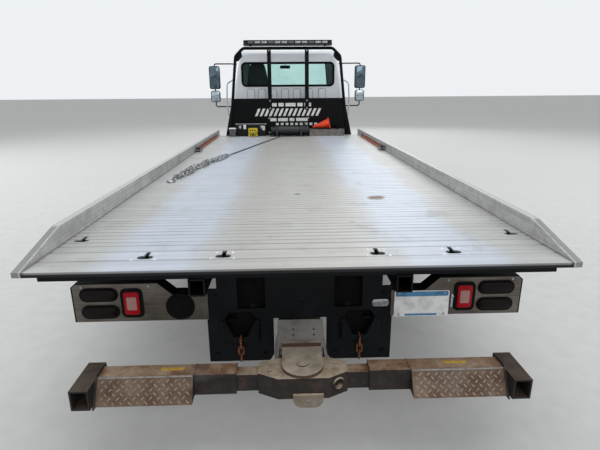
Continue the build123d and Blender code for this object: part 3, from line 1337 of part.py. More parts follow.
def boom_slide():
    gap = BOOM_WALL + SLIDE_CLEAR
    half = BOOM_HALF - gap
    z = (BOOM_Z[0] + gap, BOOM_Z[1] - gap)
    front_y = BOOM_PIVOT_Y - 60 - 30
    tube = tube_y((-half, half), (YOKE_WEB_Y[0], front_y), z, 8)
    web = block((-YOKE_HALF, YOKE_HALF), YOKE_WEB_Y, (YOKE_FOOT_Z[0], YOKE_TOP_Z[1] + 22))
    pin = bar_z(0, CROSSBAR_Y, (YOKE_FOOT_Z[0] - 8, YOKE_TOP_Z[1] + 6), HUB_PIN_RADIUS)
    pad_half = BOOM_HALF - BOOM_WALL - STRIP_GAP
    pad_z = (BOOM_Z[0] + BOOM_WALL + STRIP_GAP, BOOM_Z[1] - BOOM_WALL - STRIP_GAP)
    pads = block((-pad_half, pad_half), (front_y - 100, front_y), pad_z)
    pads -= block((-half + 1, half - 1), (front_y - 101, front_y + 1), (z[0] + 1, z[1] - 1))
    plates = [yoke_plate(YOKE_HALF, YOKE_TOP_Z), yoke_plate(YOKE_FOOT_HALF, YOKE_FOOT_Z)]
    return fuse([tube, pads, web, pin] + plates)


def crossbar_middle():
    """Hub round the swivel pin with a nose at the rear, the two arms, the tongue lug and the ring socket."""
    low, high = CROSSBAR_Z
    rear, front = CROSSBAR_Y - HUB_REAR, CROSSBAR_Y + HUB_FRONT
    edge = CROSSBAR_DEPTH / 2
    hub = plan_outline(
        [
            (-HUB_HALF, CROSSBAR_Y - edge), (-HUB_NOSE_HALF, rear), (HUB_NOSE_HALF, rear),
            (HUB_HALF, CROSSBAR_Y - edge), (HUB_HALF, CROSSBAR_Y + edge), (HUB_NOSE_HALF, front),
            (-HUB_NOSE_HALF, front), (-HUB_HALF, CROSSBAR_Y + edge),
        ],
        CROSSBAR_Z,
    )
    arm_half = SLEEVE_X[0] + 5
    arms = block((-arm_half, arm_half), (CROSSBAR_Y - edge + 10, CROSSBAR_Y + edge - 10), ARM_Z)
    lug_y = (rear - LUG_THICK, rear)
    lug = rear_outline(
        [(LUG_X[0], LUG_Z[1]), (LUG_X[1], LUG_Z[1]), (LUG_X[1], LUG_Z[0]), (LUG_X[0], LUG_Z[0])],
        lug_y, (0, 0, 45, 45),
    )
    cut_y = (lug_y[0] - 5, rear + 5)
    lug -= bar_y(TONGUE_HOLE[0], cut_y, TONGUE_HOLE[1], TONGUE_RADIUS)
    slot_x = (TONGUE_HOLE[0] - 15, TONGUE_HOLE[0] + 15)
    slot = block(slot_x, (lug_y[0] - 5, rear), (LUG_Z[1] - 20, LUG_Z[1] - 12))
    web = block(LUG_X, (lug_y[0], rear + 1), (low, LUG_Z[1]))
    web -= bar_y(TONGUE_HOLE[0], (lug_y[0] - 5, rear), TONGUE_HOLE[1], TONGUE_RADIUS)
    middle = Plane(
        origin=((HUB_NOSE_HALF + HUB_HALF) / 2, (rear + CROSSBAR_Y - edge) / 2, (low + high) / 2 + 5),
        z_dir=(HUB_REAR - edge, HUB_NOSE_HALF - HUB_HALF, 0),
    )
    ring = middle * Torus(27, 7)
    socket = middle * Cylinder(19, 30)
    return fuse([hub, arms, lug, web - slot, ring]) - socket


def crossbar():
    y = (CROSSBAR_Y - CROSSBAR_DEPTH / 2, CROSSBAR_Y + CROSSBAR_DEPTH / 2)
    low, high = CROSSBAR_Z
    shapes = [crossbar_middle()]
    shapes += pair(block(SLEEVE_X, y, CROSSBAR_Z))
    receiver = tube_y(
        (RECEIVER_OUTER - 86, RECEIVER_OUTER), (y[0] - RECEIVER_REACH, y[1] + 40), (low + 5, high - 3), 8
    )
    joiner = block((SLEEVE_X[1] - 5, RECEIVER_OUTER - 86), y, CROSSBAR_Z)
    shapes += pair(receiver) + pair(joiner)
    foot_y = y[0] - STEP_REACH
    tread = side_outline(
        [(foot_y, low), (foot_y + 6, low), (y[0], high - 4), (y[0] + 1, high), (y[0] - 2, high)], STEP_X
    )
    gusset = [(foot_y + 2, low), (y[0] + 1, low), (y[0] + 1, high - 2)]
    for gusset_x in ((STEP_X[0], STEP_X[0] + STEP_WALL), (STEP_X[1] - STEP_WALL, STEP_X[1])):
        shapes += pair(side_outline(gusset, gusset_x))
    shapes += pair(tread)
    bar = fuse(shapes)
    return bar - bar_z(0, CROSSBAR_Y, (low - 10, high + 10), HUB_PIN_RADIUS + PIN_FIT)


def build_nodes():
    node("frame_rails", frame_rails())
    node("front_axle", front_axle())
    node("rear_axle", rear_axle())
    node("driveline", driveline())
    node("side_tanks", *side_tanks())
    node("tool_boxes", *tool_boxes())
    node("exhaust", exhaust())
    node("front_bumper", front_bumper())
    node("mud_flaps", *mud_flaps())
    node("cab_shell", cab_shell())
    node("cab_glass", *cab_glass())
    node("cab_interior", dashboard(), *seats())
    node("grab_rails", *grab_rails())
    node("tail_plate", tail_plate())
    node("light_brackets", *pair(light_bracket()))
    node("tail_lamps", *tail_lamps())
    node("tail_chains", *tail_chains())
    node("hood", hood())
    node("grille", grille())
    node("headlamps", *headlamps())
    for name, side in (("left", -1), ("right", 1)):
        node("door_" + name, cab_door(side))
        node("door_glass_" + name, door_glass(side))
        node("mirrors_" + name, mirror_set(side))
        node("knuckle_" + name, knuckle(side))
        node("tyre_front_" + name, tyre(side * FRONT_TRACK_HALF, FRONT_AXLE_Y))
        node("rim_front_" + name, front_rim(side))
        node(
            "tyres_rear_" + name,
            tyre(side * DUAL_INNER_X, REAR_AXLE_Y), tyre(side * DUAL_OUTER_X, REAR_AXLE_Y),
        )
        node("rims_rear_" + name, rear_rims(side))
    node("tilt_frame", tilt_frame())
    node("tilt_barrels", *pair(tilt_barrel()))
    node("tilt_rods", *pair(tilt_rod()))
    node("deck_floor", deck_floor())
    node("side_rails", *side_rails())
    node("bed_sills", *bed_sills())
    node("bed_crossbeams", *bed_crossbeams())
    node("headboard", headboard())
    node("light_bar", light_bar())
    node("winch", winch())
    node("winch_rope", winch_rope())
    node("deck_chain", *deck_chain())
    node("stowed_gear", *stowed_gear())
    node("gear_tray", gear_tray())
    node("boom_sleeve", boom_sleeve())
    node("boom_slide", boom_slide())
    node("crossbar", crossbar())


def main():
    build_nodes()
    os.makedirs("parts", exist_ok=True)
    for name, shape in NODES.items():
        export_step(shape, "parts/" + name + ".step")


main()
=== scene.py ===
import math

import bmesh
import bpy
from bpy.props import FloatProperty, FloatVectorProperty, IntProperty, PointerProperty
from mathutils import Matrix, Vector


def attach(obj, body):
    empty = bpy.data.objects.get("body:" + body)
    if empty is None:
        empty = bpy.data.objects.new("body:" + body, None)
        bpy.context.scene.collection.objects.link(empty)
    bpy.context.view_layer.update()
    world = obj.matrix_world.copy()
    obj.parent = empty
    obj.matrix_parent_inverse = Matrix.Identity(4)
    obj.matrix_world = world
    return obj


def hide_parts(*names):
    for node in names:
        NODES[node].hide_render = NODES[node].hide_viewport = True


bl_info = {
    "name": "Flatbed tow truck",
    "version": (1, 0, 0),
    "blender": (4, 5, 0),
    "location": "3D View > Sidebar > Tow truck",
    "description": "Looks of a flatbed tow truck, built over its packed solids",
    "category": "Object",
}

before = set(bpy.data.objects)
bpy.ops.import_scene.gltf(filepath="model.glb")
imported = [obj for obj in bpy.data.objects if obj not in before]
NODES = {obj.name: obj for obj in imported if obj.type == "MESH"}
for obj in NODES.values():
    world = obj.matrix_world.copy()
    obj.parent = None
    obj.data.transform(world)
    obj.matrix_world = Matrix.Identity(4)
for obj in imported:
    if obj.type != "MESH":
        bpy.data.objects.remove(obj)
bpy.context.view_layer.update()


# Colours and pattern sizes

def linear(code):
    """sRGB hex to the linear colour that Blender's sockets take."""
    channels = [int(code[place:place + 2], 16) / 255 for place in (0, 2, 4)]
    return tuple(c / 12.92 if c <= 0.04045 else ((c + 0.055) / 1.055) ** 2.4 for c in channels) + (1.0,)


def per(millimetres):
    """Texture scale at which one feature is that many millimetres wide."""
    return 1000 / millimetres


# User settings

class TruckPaint(bpy.types.PropertyGroup):
    """Colour of the painted panels"""
    cab: FloatVectorProperty(
        name="Cab", description="Enamel of the cab, doors and hood", subtype="COLOR", size=4,
        min=0, max=1, default=linear("e2e8ee"))


class TruckBed(bpy.types.PropertyGroup):
    """Sizes of the pieces on the bed"""
    rope_diameter: FloatProperty(
        name="Winch rope", description="Diameter of the winch rope", unit="LENGTH", default=0.014)
    link_length: FloatProperty(
        name="Chain link", description="Length of one link of the chains", unit="LENGTH", default=0.06)
    link_wire: FloatProperty(
        name="Chain wire", description="Thickness of the links' wire", unit="LENGTH", default=0.01)
    rivet_radius: FloatProperty(
        name="Deck rivet", description="Radius of the rivet heads round the keyholes", unit="LENGTH",
        default=0.009)
    lamp_modules: IntProperty(
        name="Light bar modules", description="Lenses along each face of the light bar", min=4, max=24,
        default=12)


class TruckTail(bpy.types.PropertyGroup):
    """Sizes of the pieces at the tail"""
    tread_pitch: FloatProperty(
        name="Tread pitch", description="Distance between the raised marks of the step plates",
        unit="LENGTH", default=0.027)
    tread_height: FloatProperty(
        name="Tread height", description="Height of the raised marks", unit="LENGTH", default=0.003)
    bolt_radius: FloatProperty(
        name="Bolt head", description="Radius of the bolt heads on the tail plate", unit="LENGTH",
        default=0.011)


class TruckWheels(bpy.types.PropertyGroup):
    """Sizes of the wheels' details"""
    groove_depth: FloatProperty(
        name="Tread groove", description="Depth of the tyres' grooves", unit="LENGTH", default=0.011)
    tread_blocks: IntProperty(
        name="Tread blocks", description="Blocks round one tyre", min=24, max=96, default=60)
    nut_count: IntProperty(
        name="Wheel nuts", description="Nuts that hold one wheel", min=5, max=12, default=8)


# Materials

COLOUR_MIX = 2  # output of a Mix node that blends colours


def material(name):
    """A new material, and the object's own coordinates in it."""
    made = bpy.data.materials.new(name)
    made.use_nodes = True
    made.node_tree.nodes.clear()
    return made, add(made, "TexCoord").outputs["Object"]


def add(made, kind, inputs=None, **settings):
    """Adds one node: inputs are values, sockets or nodes, and stops are a ramp's places and colours."""
    node = made.node_tree.nodes.new("ShaderNode" + kind)
    for name, value in settings.items():
        if name == "stops":
            elements = node.color_ramp.elements
            while len(elements) < len(value):
                elements.new(1.0)
            for element, (place, code) in zip(elements, value):
                element.position = place
                element.color = linear(code)
        else:
            setattr(node, name, value)
    for name, value in (inputs or {}).items():
        if isinstance(value, bpy.types.Node):
            value = value.outputs[COLOUR_MIX if value.bl_idname == "ShaderNodeMix" else 0]
        if isinstance(value, bpy.types.NodeSocket):
            made.node_tree.links.new(value, node.inputs[name])
        else:
            node.inputs[name].default_value = value
    return node


def finished(made, shader):
    add(made, "OutputMaterial", {"Surface": shader})
    return made


def clouded(name, size, detail, stops, blend=0.5, gloss=None, grain=None, relief=None, surface=None):
    """Clouds of one size in mm vary colour and gloss; relief comes from them or from a finer grain."""
    made, where = material(name)
    clouds = add(made, "TexNoise", {"Vector": where, "Scale": per(size), "Detail": detail,
                                    "Roughness": blend})
    inputs = {"Base Color": add(made, "ValToRGB", {"Fac": clouds}, stops=stops), **(surface or {})}
    if gloss:
        inputs["Roughness"] = add(made, "MapRange", {"Value": clouds, "To Min": gloss[0],
                                                     "To Max": gloss[1]})
    if relief:
        height = clouds
        if grain:
            height = add(made, "TexNoise", {"Vector": where, "Scale": per(grain[0]), "Detail": grain[1]})
        inputs["Normal"] = add(made, "Bump", {"Height": height, "Strength": relief[0],
                                              "Distance": relief[1]})
    return finished(made, add(made, "BsdfPrincipled", inputs))


def black_chassis_enamel():
    # Black enamel sprayed on steel, years old: satin, clouded by grey road dust, with small bare chips.
    # Its film is painted darker than the paint, as painted shade for the parts under the deck.
    made, where = material("black_chassis_enamel")
    dust = add(made, "TexNoise", {"Vector": where, "Scale": per(320), "Detail": 7, "Roughness": 0.65})
    # Painted shade: the film's stops are kept near black for the shadow under the deck.
    film = add(made, "ValToRGB", {"Fac": dust},
               stops=((0.35, "060708"), (0.55, "0b0e11"), (0.78, "181c21")))
    grit = add(made, "TexNoise", {"Vector": where, "Scale": per(14), "Detail": 5, "Roughness": 0.7})
    chips = add(made, "ValToRGB", {"Fac": grit}, stops=((0.7, "000000"), (0.74, "ffffff")))
    tone = add(made, "Mix", {0: chips, 6: film, 7: linear("2c2825")}, data_type="RGBA")
    gloss = add(made, "MapRange", {"Value": dust, "From Min": 0.3, "From Max": 0.75,
                                   "To Min": 0.36, "To Max": 0.66})
    relief = add(made, "Bump", {"Height": grit, "Strength": 0.12, "Distance": 0.001})
    return finished(made, add(made, "BsdfPrincipled", {
        "Base Color": tone, "Roughness": gloss, "Specular IOR Level": 0.14, "Normal": relief}))


def cab_enamel():
    # Two-coat white vehicle enamel: clear and glossy, with a grey film of road dirt low down and
    # in streaks.
    made, where = material("cab_enamel")
    parts = add(made, "SeparateXYZ", {"Vector": where})
    low = add(made, "MapRange", {"Value": parts.outputs["Z"], "From Min": 1.25, "From Max": 0.7})
    streaks = add(made, "Mapping", {"Vector": where, "Scale": (per(45), per(45), per(900))})
    runs = add(made, "TexNoise", {"Vector": streaks, "Scale": 1.0, "Detail": 5})
    film = add(made, "Math", {0: low, 1: runs}, operation="MULTIPLY")
    faint = add(made, "MapRange", {"Value": runs, "From Min": 0.58, "From Max": 0.85, "To Max": 0.16})
    dirt = add(made, "Math", {0: film, 1: faint}, operation="ADD", use_clamp=True)
    paint = bpy.context.scene.truck_paint.cab
    tone = add(made, "Mix", {0: dirt, 6: tuple(paint), 7: linear("8d8a84")}, data_type="RGBA")
    gloss = add(made, "MapRange", {"Value": dirt, "To Min": 0.22, "To Max": 0.6})
    return finished(made, add(made, "BsdfPrincipled", {
        "Base Color": tone, "Roughness": gloss, "Coat Weight": 0.5, "Coat Roughness": 0.08}))


DECK_SPOTS = (
    # x, y, radius, colour of rust or oil
    (0.609, -3.267, 0.075, "5f4127"), (0.56, -3.3, 0.04, "6d4a2c"),
    (0.017, -3.11, 0.035, "4c463d"), (0.33, -3.9, 0.03, "5a5148"),
)


def deck_aluminium():
    # Mill-finish extruded aluminium, driven on for years: dull silver, with a painted bluish sky
    # reflection toward both sides and a warm grey middle that is a painted reflection of the dark
    # headboard and cab, scratches at all angles and dark dirt down in the grooves. Its faces more than
    # about 10 mm below the top are painted near black as painted shade, on its rear edge and underside.
    # The scratches are drawn 3 to 4 mm wide to show.
    made, where = material("deck_aluminium")
    parts = add(made, "SeparateXYZ", {"Vector": where})
    side = add(made, "Math", {0: parts.outputs["X"]}, operation="ABSOLUTE")
    wander = add(made, "TexNoise", {"Vector": where, "Scale": per(700), "Detail": 4})
    shift = add(made, "Math", {0: wander, 1: 0.3, 2: -0.15}, operation="MULTIPLY_ADD")
    across = add(made, "Math", {0: side, 1: shift}, operation="ADD")
    # Painted reflection: bluish sky toward the sides, and a warm grey middle for the dark headboard and cab.
    bands = add(made, "ValToRGB", {"Fac": across},
                stops=((0.3, "bdbcb8"), (0.42, "c1c3c5"), (0.52, "c9d1dc"), (0.86, "cbd3de"),
                       (1.0, "c4c5c4")))
    planks = add(made, "Mapping", {"Vector": where, "Scale": (per(2600), per(60), 1.0)})
    plank_tone = add(made, "TexNoise", {"Vector": planks, "Scale": 1.0, "Detail": 3, "Roughness": 0.8})
    plank_shade = add(made, "MapRange", {"Value": plank_tone, "From Min": 0.3,
                                         "From Max": 0.7, "To Min": 0.79, "To Max": 1.01})
    planks_and_painted_reflection = add(made, "VectorMath", {0: bands, 1: plank_shade}, operation="MULTIPLY")
    turned = add(made, "Mapping", {"Vector": where, "Rotation": (0, 0, math.radians(32)),
                                   "Scale": (per(500), per(4), 1.0)})
    scratch_a = add(made, "TexNoise", {"Vector": turned, "Scale": 1.0, "Detail": 3})
    turned_back = add(made, "Mapping", {"Vector": where, "Rotation": (0, 0, math.radians(-58)),
                                        "Scale": (per(380), per(3), 1.0)})
    scratch_b = add(made, "TexNoise", {"Vector": turned_back, "Scale": 1.0, "Detail": 3})
    scratches = add(made, "Math", {0: scratch_a, 1: scratch_b}, operation="MAXIMUM")
    marked = add(made, "MapRange", {"Value": scratches, "From Min": 0.6, "From Max": 0.74,
                                    "To Min": 0.0, "To Max": 0.5})
    scored = add(made, "Mix", {0: marked, 6: planks_and_painted_reflection, 7: linear("84837f")}, data_type="RGBA")
    smudge = add(made, "TexNoise", {"Vector": where, "Scale": per(240), "Detail": 8, "Roughness": 0.7})
    stain = add(made, "MapRange", {"Value": smudge, "From Min": 0.56, "From Max": 0.78, "To Max": 0.42})
    stained = add(made, "Mix", {0: stain, 6: scored, 7: linear("726e66")}, data_type="RGBA")
    deep = add(made, "MapRange", {"Value": parts.outputs["Z"], "From Min": 0.9995, "From Max": 0.9965})
    shore = add(made, "MapRange", {"Value": side, "From Min": 1.236, "From Max": 1.252, "To Max": 0.75})
    dirty = add(made, "Math", {0: deep, 1: 0.55, 2: shore}, operation="MULTIPLY_ADD", use_clamp=True)
    tone = add(made, "Mix", {0: dirty, 6: stained, 7: linear("55534e")}, data_type="RGBA")
    for x, y, radius, colour in DECK_SPOTS:
        gap = add(made, "VectorMath", {0: where, 1: (x, y, 1.0)}, operation="DISTANCE")
        frayed = add(made, "Math", {0: smudge, 1: -0.16, 2: gap.outputs["Value"]},
                     operation="MULTIPLY_ADD")
        spot = add(made, "MapRange", {"Value": frayed, "From Min": radius - 0.085,
                                      "From Max": radius - 0.115, "To Max": 0.85})
        tone = add(made, "Mix", {0: spot, 6: tone, 7: linear(colour)}, data_type="RGBA")
    # Painted shade: the deck's faces more than about 10 mm below its top go near black, on its rear edge and
    # underside.
    under = add(made, "MapRange", {"Value": parts.outputs["Z"], "From Min": 0.992, "From Max": 0.987})
    tone = add(made, "Mix", {0: under, 6: tone, 7: linear("1f2022")}, data_type="RGBA")
    gloss = add(made, "MapRange", {"Value": smudge, "To Min": 0.34, "To Max": 0.56})
    relief = add(made, "Bump", {"Height": scratches, "Strength": 0.15, "Distance": 0.0008})
    return finished(made, add(made, "BsdfPrincipled", {
        "Base Color": tone, "Metallic": 0.55, "Roughness": gloss, "Normal": relief}))


def rail_aluminium():
    # Extruded aluminium side rail: duller than the deck, rubbed along its length, scuffed and dusty
    # inside, with its top edge worn bright. Its die lines are drawn 6 mm wide to show.
    made, where = material("rail_aluminium")
    parts = add(made, "SeparateXYZ", {"Vector": where})
    drawn = add(made, "Mapping", {"Vector": where, "Scale": (per(20), per(900), per(6))})
    lines = add(made, "TexNoise", {"Vector": drawn, "Scale": 1.0, "Detail": 4})
    blots = add(made, "TexNoise", {"Vector": where, "Scale": per(110), "Detail": 8, "Roughness": 0.7})
    mixed = add(made, "Math", {0: lines, 1: blots}, operation="MULTIPLY")
    body = add(made, "ValToRGB", {"Fac": mixed},
               stops=((0.12, "8f8e8a"), (0.26, "b2b3b1"), (0.42, "cccecd")))
    side = add(made, "Math", {0: parts.outputs["X"]}, operation="ABSOLUTE")
    back = add(made, "MapRange", {"Value": side, "From Min": 1.262, "From Max": 1.266})
    dull = add(made, "Mix", {0: back, 6: body, 7: linear("8a8b8b")}, data_type="RGBA")
    crest = add(made, "MapRange", {"Value": parts.outputs["Z"], "From Min": 1.094, "From Max": 1.099,
                                   "To Max": 0.5})
    tone = add(made, "Mix", {0: crest, 6: dull, 7: linear("dcdedf")}, data_type="RGBA")
    relief = add(made, "Bump", {"Height": lines, "Strength": 0.1, "Distance": 0.0006})
    return finished(made, add(made, "BsdfPrincipled", {
        "Base Color": tone, "Metallic": 0.5, "Roughness": 0.5, "Normal": relief}))


def brushed_stainless():
    # Stainless sheet brushed lengthwise: warm grey with soft streaks, tea-coloured where road film
    # dried, and painted darker as painted shade for the brackets in shadow below the deck's rear edge.
    # Its brush lines are drawn 3 mm wide to show.
    made, where = material("brushed_stainless")
    brushed = add(made, "Mapping", {"Vector": where, "Scale": (per(260), per(6), per(3))})
    lines = add(made, "TexNoise", {"Vector": brushed, "Scale": 1.0, "Detail": 4})
    film = add(made, "TexNoise", {"Vector": where, "Scale": per(170), "Detail": 6})
    mixed = add(made, "Math", {0: lines, 1: film}, operation="MULTIPLY")
    # Painted shade: the stops are kept dark for the brackets' place in shadow below the deck.
    tone = add(made, "ValToRGB", {"Fac": mixed},
               stops=((0.12, "4f483f"), (0.26, "67615a"), (0.42, "7b766f")))
    relief = add(made, "Bump", {"Height": lines, "Strength": 0.12, "Distance": 0.0004})
    return finished(made, add(made, "BsdfPrincipled", {
        "Base Color": tone, "Metallic": 0.8, "Roughness": 0.42, "Normal": relief}))


def rusted_bar_steel():
    # Hot-rolled steel bar whose paint is long gone: orange-brown rust on the tops where boots rub,
    # dark brown scale on the faces, a few grey rubbed patches, pale worn paint left on the hub.
    made, where = material("rusted_bar_steel")
    clouds = add(made, "TexNoise", {"Vector": where, "Scale": per(85), "Detail": 9, "Roughness": 0.68})
    scale = add(made, "ValToRGB", {"Fac": clouds},
                stops=((0.3, "100e0c"), (0.48, "1c1714"), (0.6, "2f251f"), (0.76, "4a372b")))
    facing = add(made, "SeparateXYZ", {"Vector": add(made, "NewGeometry").outputs["Normal"]})
    upward = add(made, "MapRange", {"Value": facing.outputs["Z"], "From Min": 0.22, "From Max": 0.9,
                                    "To Max": 0.9})
    tops = add(made, "ValToRGB", {"Fac": clouds},
               stops=((0.34, "785842"), (0.43, "957055"), (0.52, "a78c75"), (0.76, "c9b295")))
    tone = add(made, "Mix", {0: upward, 6: scale, 7: tops}, data_type="RGBA")
    rubbed = add(made, "TexNoise", {"Vector": where, "Scale": per(210), "Detail": 5})
    grey = add(made, "MapRange", {"Value": rubbed, "From Min": 0.6, "From Max": 0.72, "To Max": 0.35})
    mixed = add(made, "Mix", {0: grey, 6: tone, 7: linear("6f6a64")}, data_type="RGBA")
    parts = add(made, "SeparateXYZ", {"Vector": where})
    side = add(made, "Math", {0: parts.outputs["X"]}, operation="ABSOLUTE")
    hub = add(made, "MapRange", {"Value": side, "From Min": 0.3, "From Max": 0.2})
    on_top = add(made, "Math", {0: hub, 1: upward}, operation="MULTIPLY")
    paint = add(made, "ValToRGB", {"Fac": clouds},
                stops=((0.34, "9a8a77"), (0.5, "c2b29c"), (0.62, "d1c4af"), (0.76, "ded3bf")))
    mixed = add(made, "Mix", {0: on_top, 6: mixed, 7: paint}, data_type="RGBA")
    lug = add(made, "MapRange", {"Value": parts.outputs["Y"], "From Min": -4.7205, "From Max": -4.7225,
                                 "To Max": 0.35})
    near = add(made, "MapRange", {"Value": side, "From Min": 0.16, "From Max": 0.12})
    on_lug = add(made, "Math", {0: lug, 1: near}, operation="MULTIPLY")
    mixed = add(made, "Mix", {0: on_lug, 6: mixed, 7: paint}, data_type="RGBA")
    end = add(made, "MapRange", {"Value": side, "From Min": 0.965, "From Max": 0.975, "To Max": 0.82})
    mixed = add(made, "Mix", {0: end, 6: mixed, 7: linear("1b1816")}, data_type="RGBA")
    pits = add(made, "TexNoise", {"Vector": where, "Scale": per(5), "Detail": 5, "Roughness": 0.75})
    relief = add(made, "Bump", {"Height": pits, "Strength": 0.35, "Distance": 0.0012})
    return finished(made, add(made, "BsdfPrincipled", {
        "Base Color": mixed, "Metallic": 0.15, "Roughness": 0.72, "Normal": relief}))


def wire_rope_steel():
    # Greased steel wire rope: strands run round it at a slant, dark between and dull silver on top.
    # Its 5 mm strands are drawn about 11 mm apart, as a wave repeats at 0.31 of the size given to it.
    made, where = material("wire_rope_steel")
    slant = add(made, "Mapping", {"Vector": where, "Rotation": (math.radians(35), 0, 0)})
    strands = add(made, "TexWave", {"Vector": slant, "Scale": per(34), "Distortion": 0.4},
                  bands_direction="Y")
    tone = add(made, "ValToRGB", {"Fac": strands.outputs[1]}, stops=((0.25, "1d1f21"), (0.75, "5d6063")))
    relief = add(made, "Bump", {"Height": strands.outputs[1], "Strength": 0.8, "Distance": 0.0015})
    return finished(made, add(made, "BsdfPrincipled", {
        "Base Color": tone, "Metallic": 0.6, "Roughness": 0.5, "Normal": relief}))


def worn_boom_steel():
    # Painted boom steel with its paint rubbed thin: tan and satin on top, dark rust-brown on its sides.
    made, where = material("worn_boom_steel")
    rub = add(made, "TexNoise", {"Vector": where, "Scale": per(110), "Detail": 8, "Roughness": 0.6})
    tops = add(made, "ValToRGB", {"Fac": rub},
               stops=((0.32, "968a7c"), (0.5, "c0b4a3"), (0.66, "d6c8b2"), (0.8, "e2d5bf")))
    facing = add(made, "SeparateXYZ", {"Vector": add(made, "NewGeometry").outputs["Normal"]})
    upward = add(made, "MapRange", {"Value": facing.outputs["Z"], "From Min": 0.3, "From Max": 0.8})
    tone = add(made, "Mix", {0: upward, 6: linear("4a372d"), 7: tops}, data_type="RGBA")
    gloss = add(made, "MapRange", {"Value": rub, "To Min": 0.42, "To Max": 0.7})
    relief = add(made, "Bump", {"Height": rub, "Strength": 0.15, "Distance": 0.001})
    return finished(made, add(made, "BsdfPrincipled", {
        "Base Color": tone, "Metallic": 0.15, "Roughness": gloss, "Normal": relief}))


def flap_rubber():
    # Moulded rubber mud flap: flat black, splashed with dried mud toward its foot.
    made, where = material("flap_rubber")
    parts = add(made, "SeparateXYZ", {"Vector": where})
    low = add(made, "MapRange", {"Value": parts.outputs["Z"], "From Min": 0.65, "From Max": 0.22})
    splash = add(made, "TexNoise", {"Vector": where, "Scale": per(38), "Detail": 9, "Roughness": 0.75})
    mud = add(made, "Math", {0: low, 1: splash}, operation="MULTIPLY")
    tone = add(made, "ValToRGB", {"Fac": mud}, stops=((0.25, "121212"), (0.6, "4a4238")))
    return finished(made, add(made, "BsdfPrincipled", {"Base Color": tone, "Roughness": 0.9}))


def dashboard_plastic():
    # Soft-skinned dashboard: mid grey, matt, with a leather-like grain drawn 4 mm wide to show.
    made, where = material("dashboard_plastic")
    grain = add(made, "TexVoronoi", {"Vector": where, "Scale": per(4)})
    fade = add(made, "TexNoise", {"Vector": where, "Scale": per(200), "Detail": 3})
    tone = add(made, "ValToRGB", {"Fac": fade}, stops=((0.35, "3c3d40"), (0.75, "505154")))
    relief = add(made, "Bump", {"Height": grain, "Strength": 0.2, "Distance": 0.0006})
    return finished(made, add(made, "BsdfPrincipled", {
        "Base Color": tone, "Roughness": 0.72, "Normal": relief}))


def seat_cloth():
    # Woven seat cloth: dark grey and flat. Its 3 mm weave is drawn 6 mm apart to show.
    made, where = material("seat_cloth")
    warp = add(made, "TexWave", {"Vector": where, "Scale": per(19), "Distortion": 0.3},
               bands_direction="X")
    weft = add(made, "TexWave", {"Vector": where, "Scale": per(19), "Distortion": 0.3},
               bands_direction="Z")
    weave = add(made, "Math", {0: warp.outputs[1], 1: weft.outputs[1]}, operation="MULTIPLY")
    tone = add(made, "ValToRGB", {"Fac": weave}, stops=((0.0, "1c1d20"), (1.0, "34363b")))
    relief = add(made, "Bump", {"Height": weave, "Strength": 0.3, "Distance": 0.001})
    return finished(made, add(made, "BsdfPrincipled", {
        "Base Color": tone, "Roughness": 0.95, "Sheen Weight": 0.25, "Normal": relief}))


def tinted_glass():
    # Laminated vehicle glass: thin, faintly green, seen through, with soft reflections and a dusty film.
    made, where = material("tinted_glass")
    film = add(made, "TexNoise", {"Vector": where, "Scale": per(260), "Detail": 6})
    gloss = add(made, "MapRange", {"Value": film, "To Min": 0.03, "To Max": 0.14})
    veil = add(made, "MapRange", {"Value": film, "From Min": 0.35, "From Max": 0.8, "To Max": 0.06})
    clear = add(made, "BsdfTransparent", {"Color": linear("f2fefc")})
    face = add(made, "BsdfPrincipled", {"Base Color": linear("4b5a58"), "Roughness": gloss, "IOR": 1.5})
    bounce = add(made, "Fresnel", {"IOR": 1.5})
    solid = add(made, "Math", {0: veil, 1: bounce}, operation="ADD", use_clamp=True)
    return finished(made, add(made, "MixShader", {0: solid, 1: clear, 2: face}))


def clear_lens():
    # Clear moulded lamp lens, slightly hazed, with ribs inside that are drawn 16 mm apart to show.
    made, where = material("clear_lens")
    ribs = add(made, "TexWave", {"Vector": where, "Scale": per(50)}, bands_direction="X")
    tone = add(made, "ValToRGB", {"Fac": ribs.outputs[1]}, stops=((0.0, "7f898f"), (1.0, "c4ccd1")))
    relief = add(made, "Bump", {"Height": ribs.outputs[1], "Strength": 0.3, "Distance": 0.001})
    return finished(made, add(made, "BsdfPrincipled", {
        "Base Color": tone, "Roughness": 0.12, "Coat Weight": 0.6, "Normal": relief}))


def lens(name, dark, bright):
    # Moulded acrylic lens: deep colour with a grid of small prisms under a smooth face; the middle of each
    # prism is painted brighter as a painted glint.
    made, where = material(name)
    prisms = add(made, "TexVoronoi", {"Vector": where, "Scale": per(7), "Randomness": 0.15})
    # Painted glint: each prism is lighter toward its middle.
    tone = add(made, "ValToRGB", {"Fac": prisms}, stops=((0.1, bright), (0.7, dark)))
    relief = add(made, "Bump", {"Height": prisms, "Strength": 0.35, "Distance": 0.001})
    return finished(made, add(made, "BsdfPrincipled", {
        "Base Color": tone, "Roughness": 0.3, "Specular IOR Level": 0.12, "Coat Weight": 0.06,
        "Coat Roughness": 0.05, "Normal": relief}))


def speckled(name, dark, bright, size, roughness, metallic=0.0, shine=0.5):
    # Plain painted, dyed or moulded surface with broad soft fading and a little handling wear.
    return clouded(name, size, 7, ((0.3, dark), (0.58, bright)), 0.65,
                   (roughness + 0.12, max(roughness - 0.1, 0.05)), None, (0.08, 0.0008),
                   {"Metallic": metallic, "Specular IOR Level": shine})


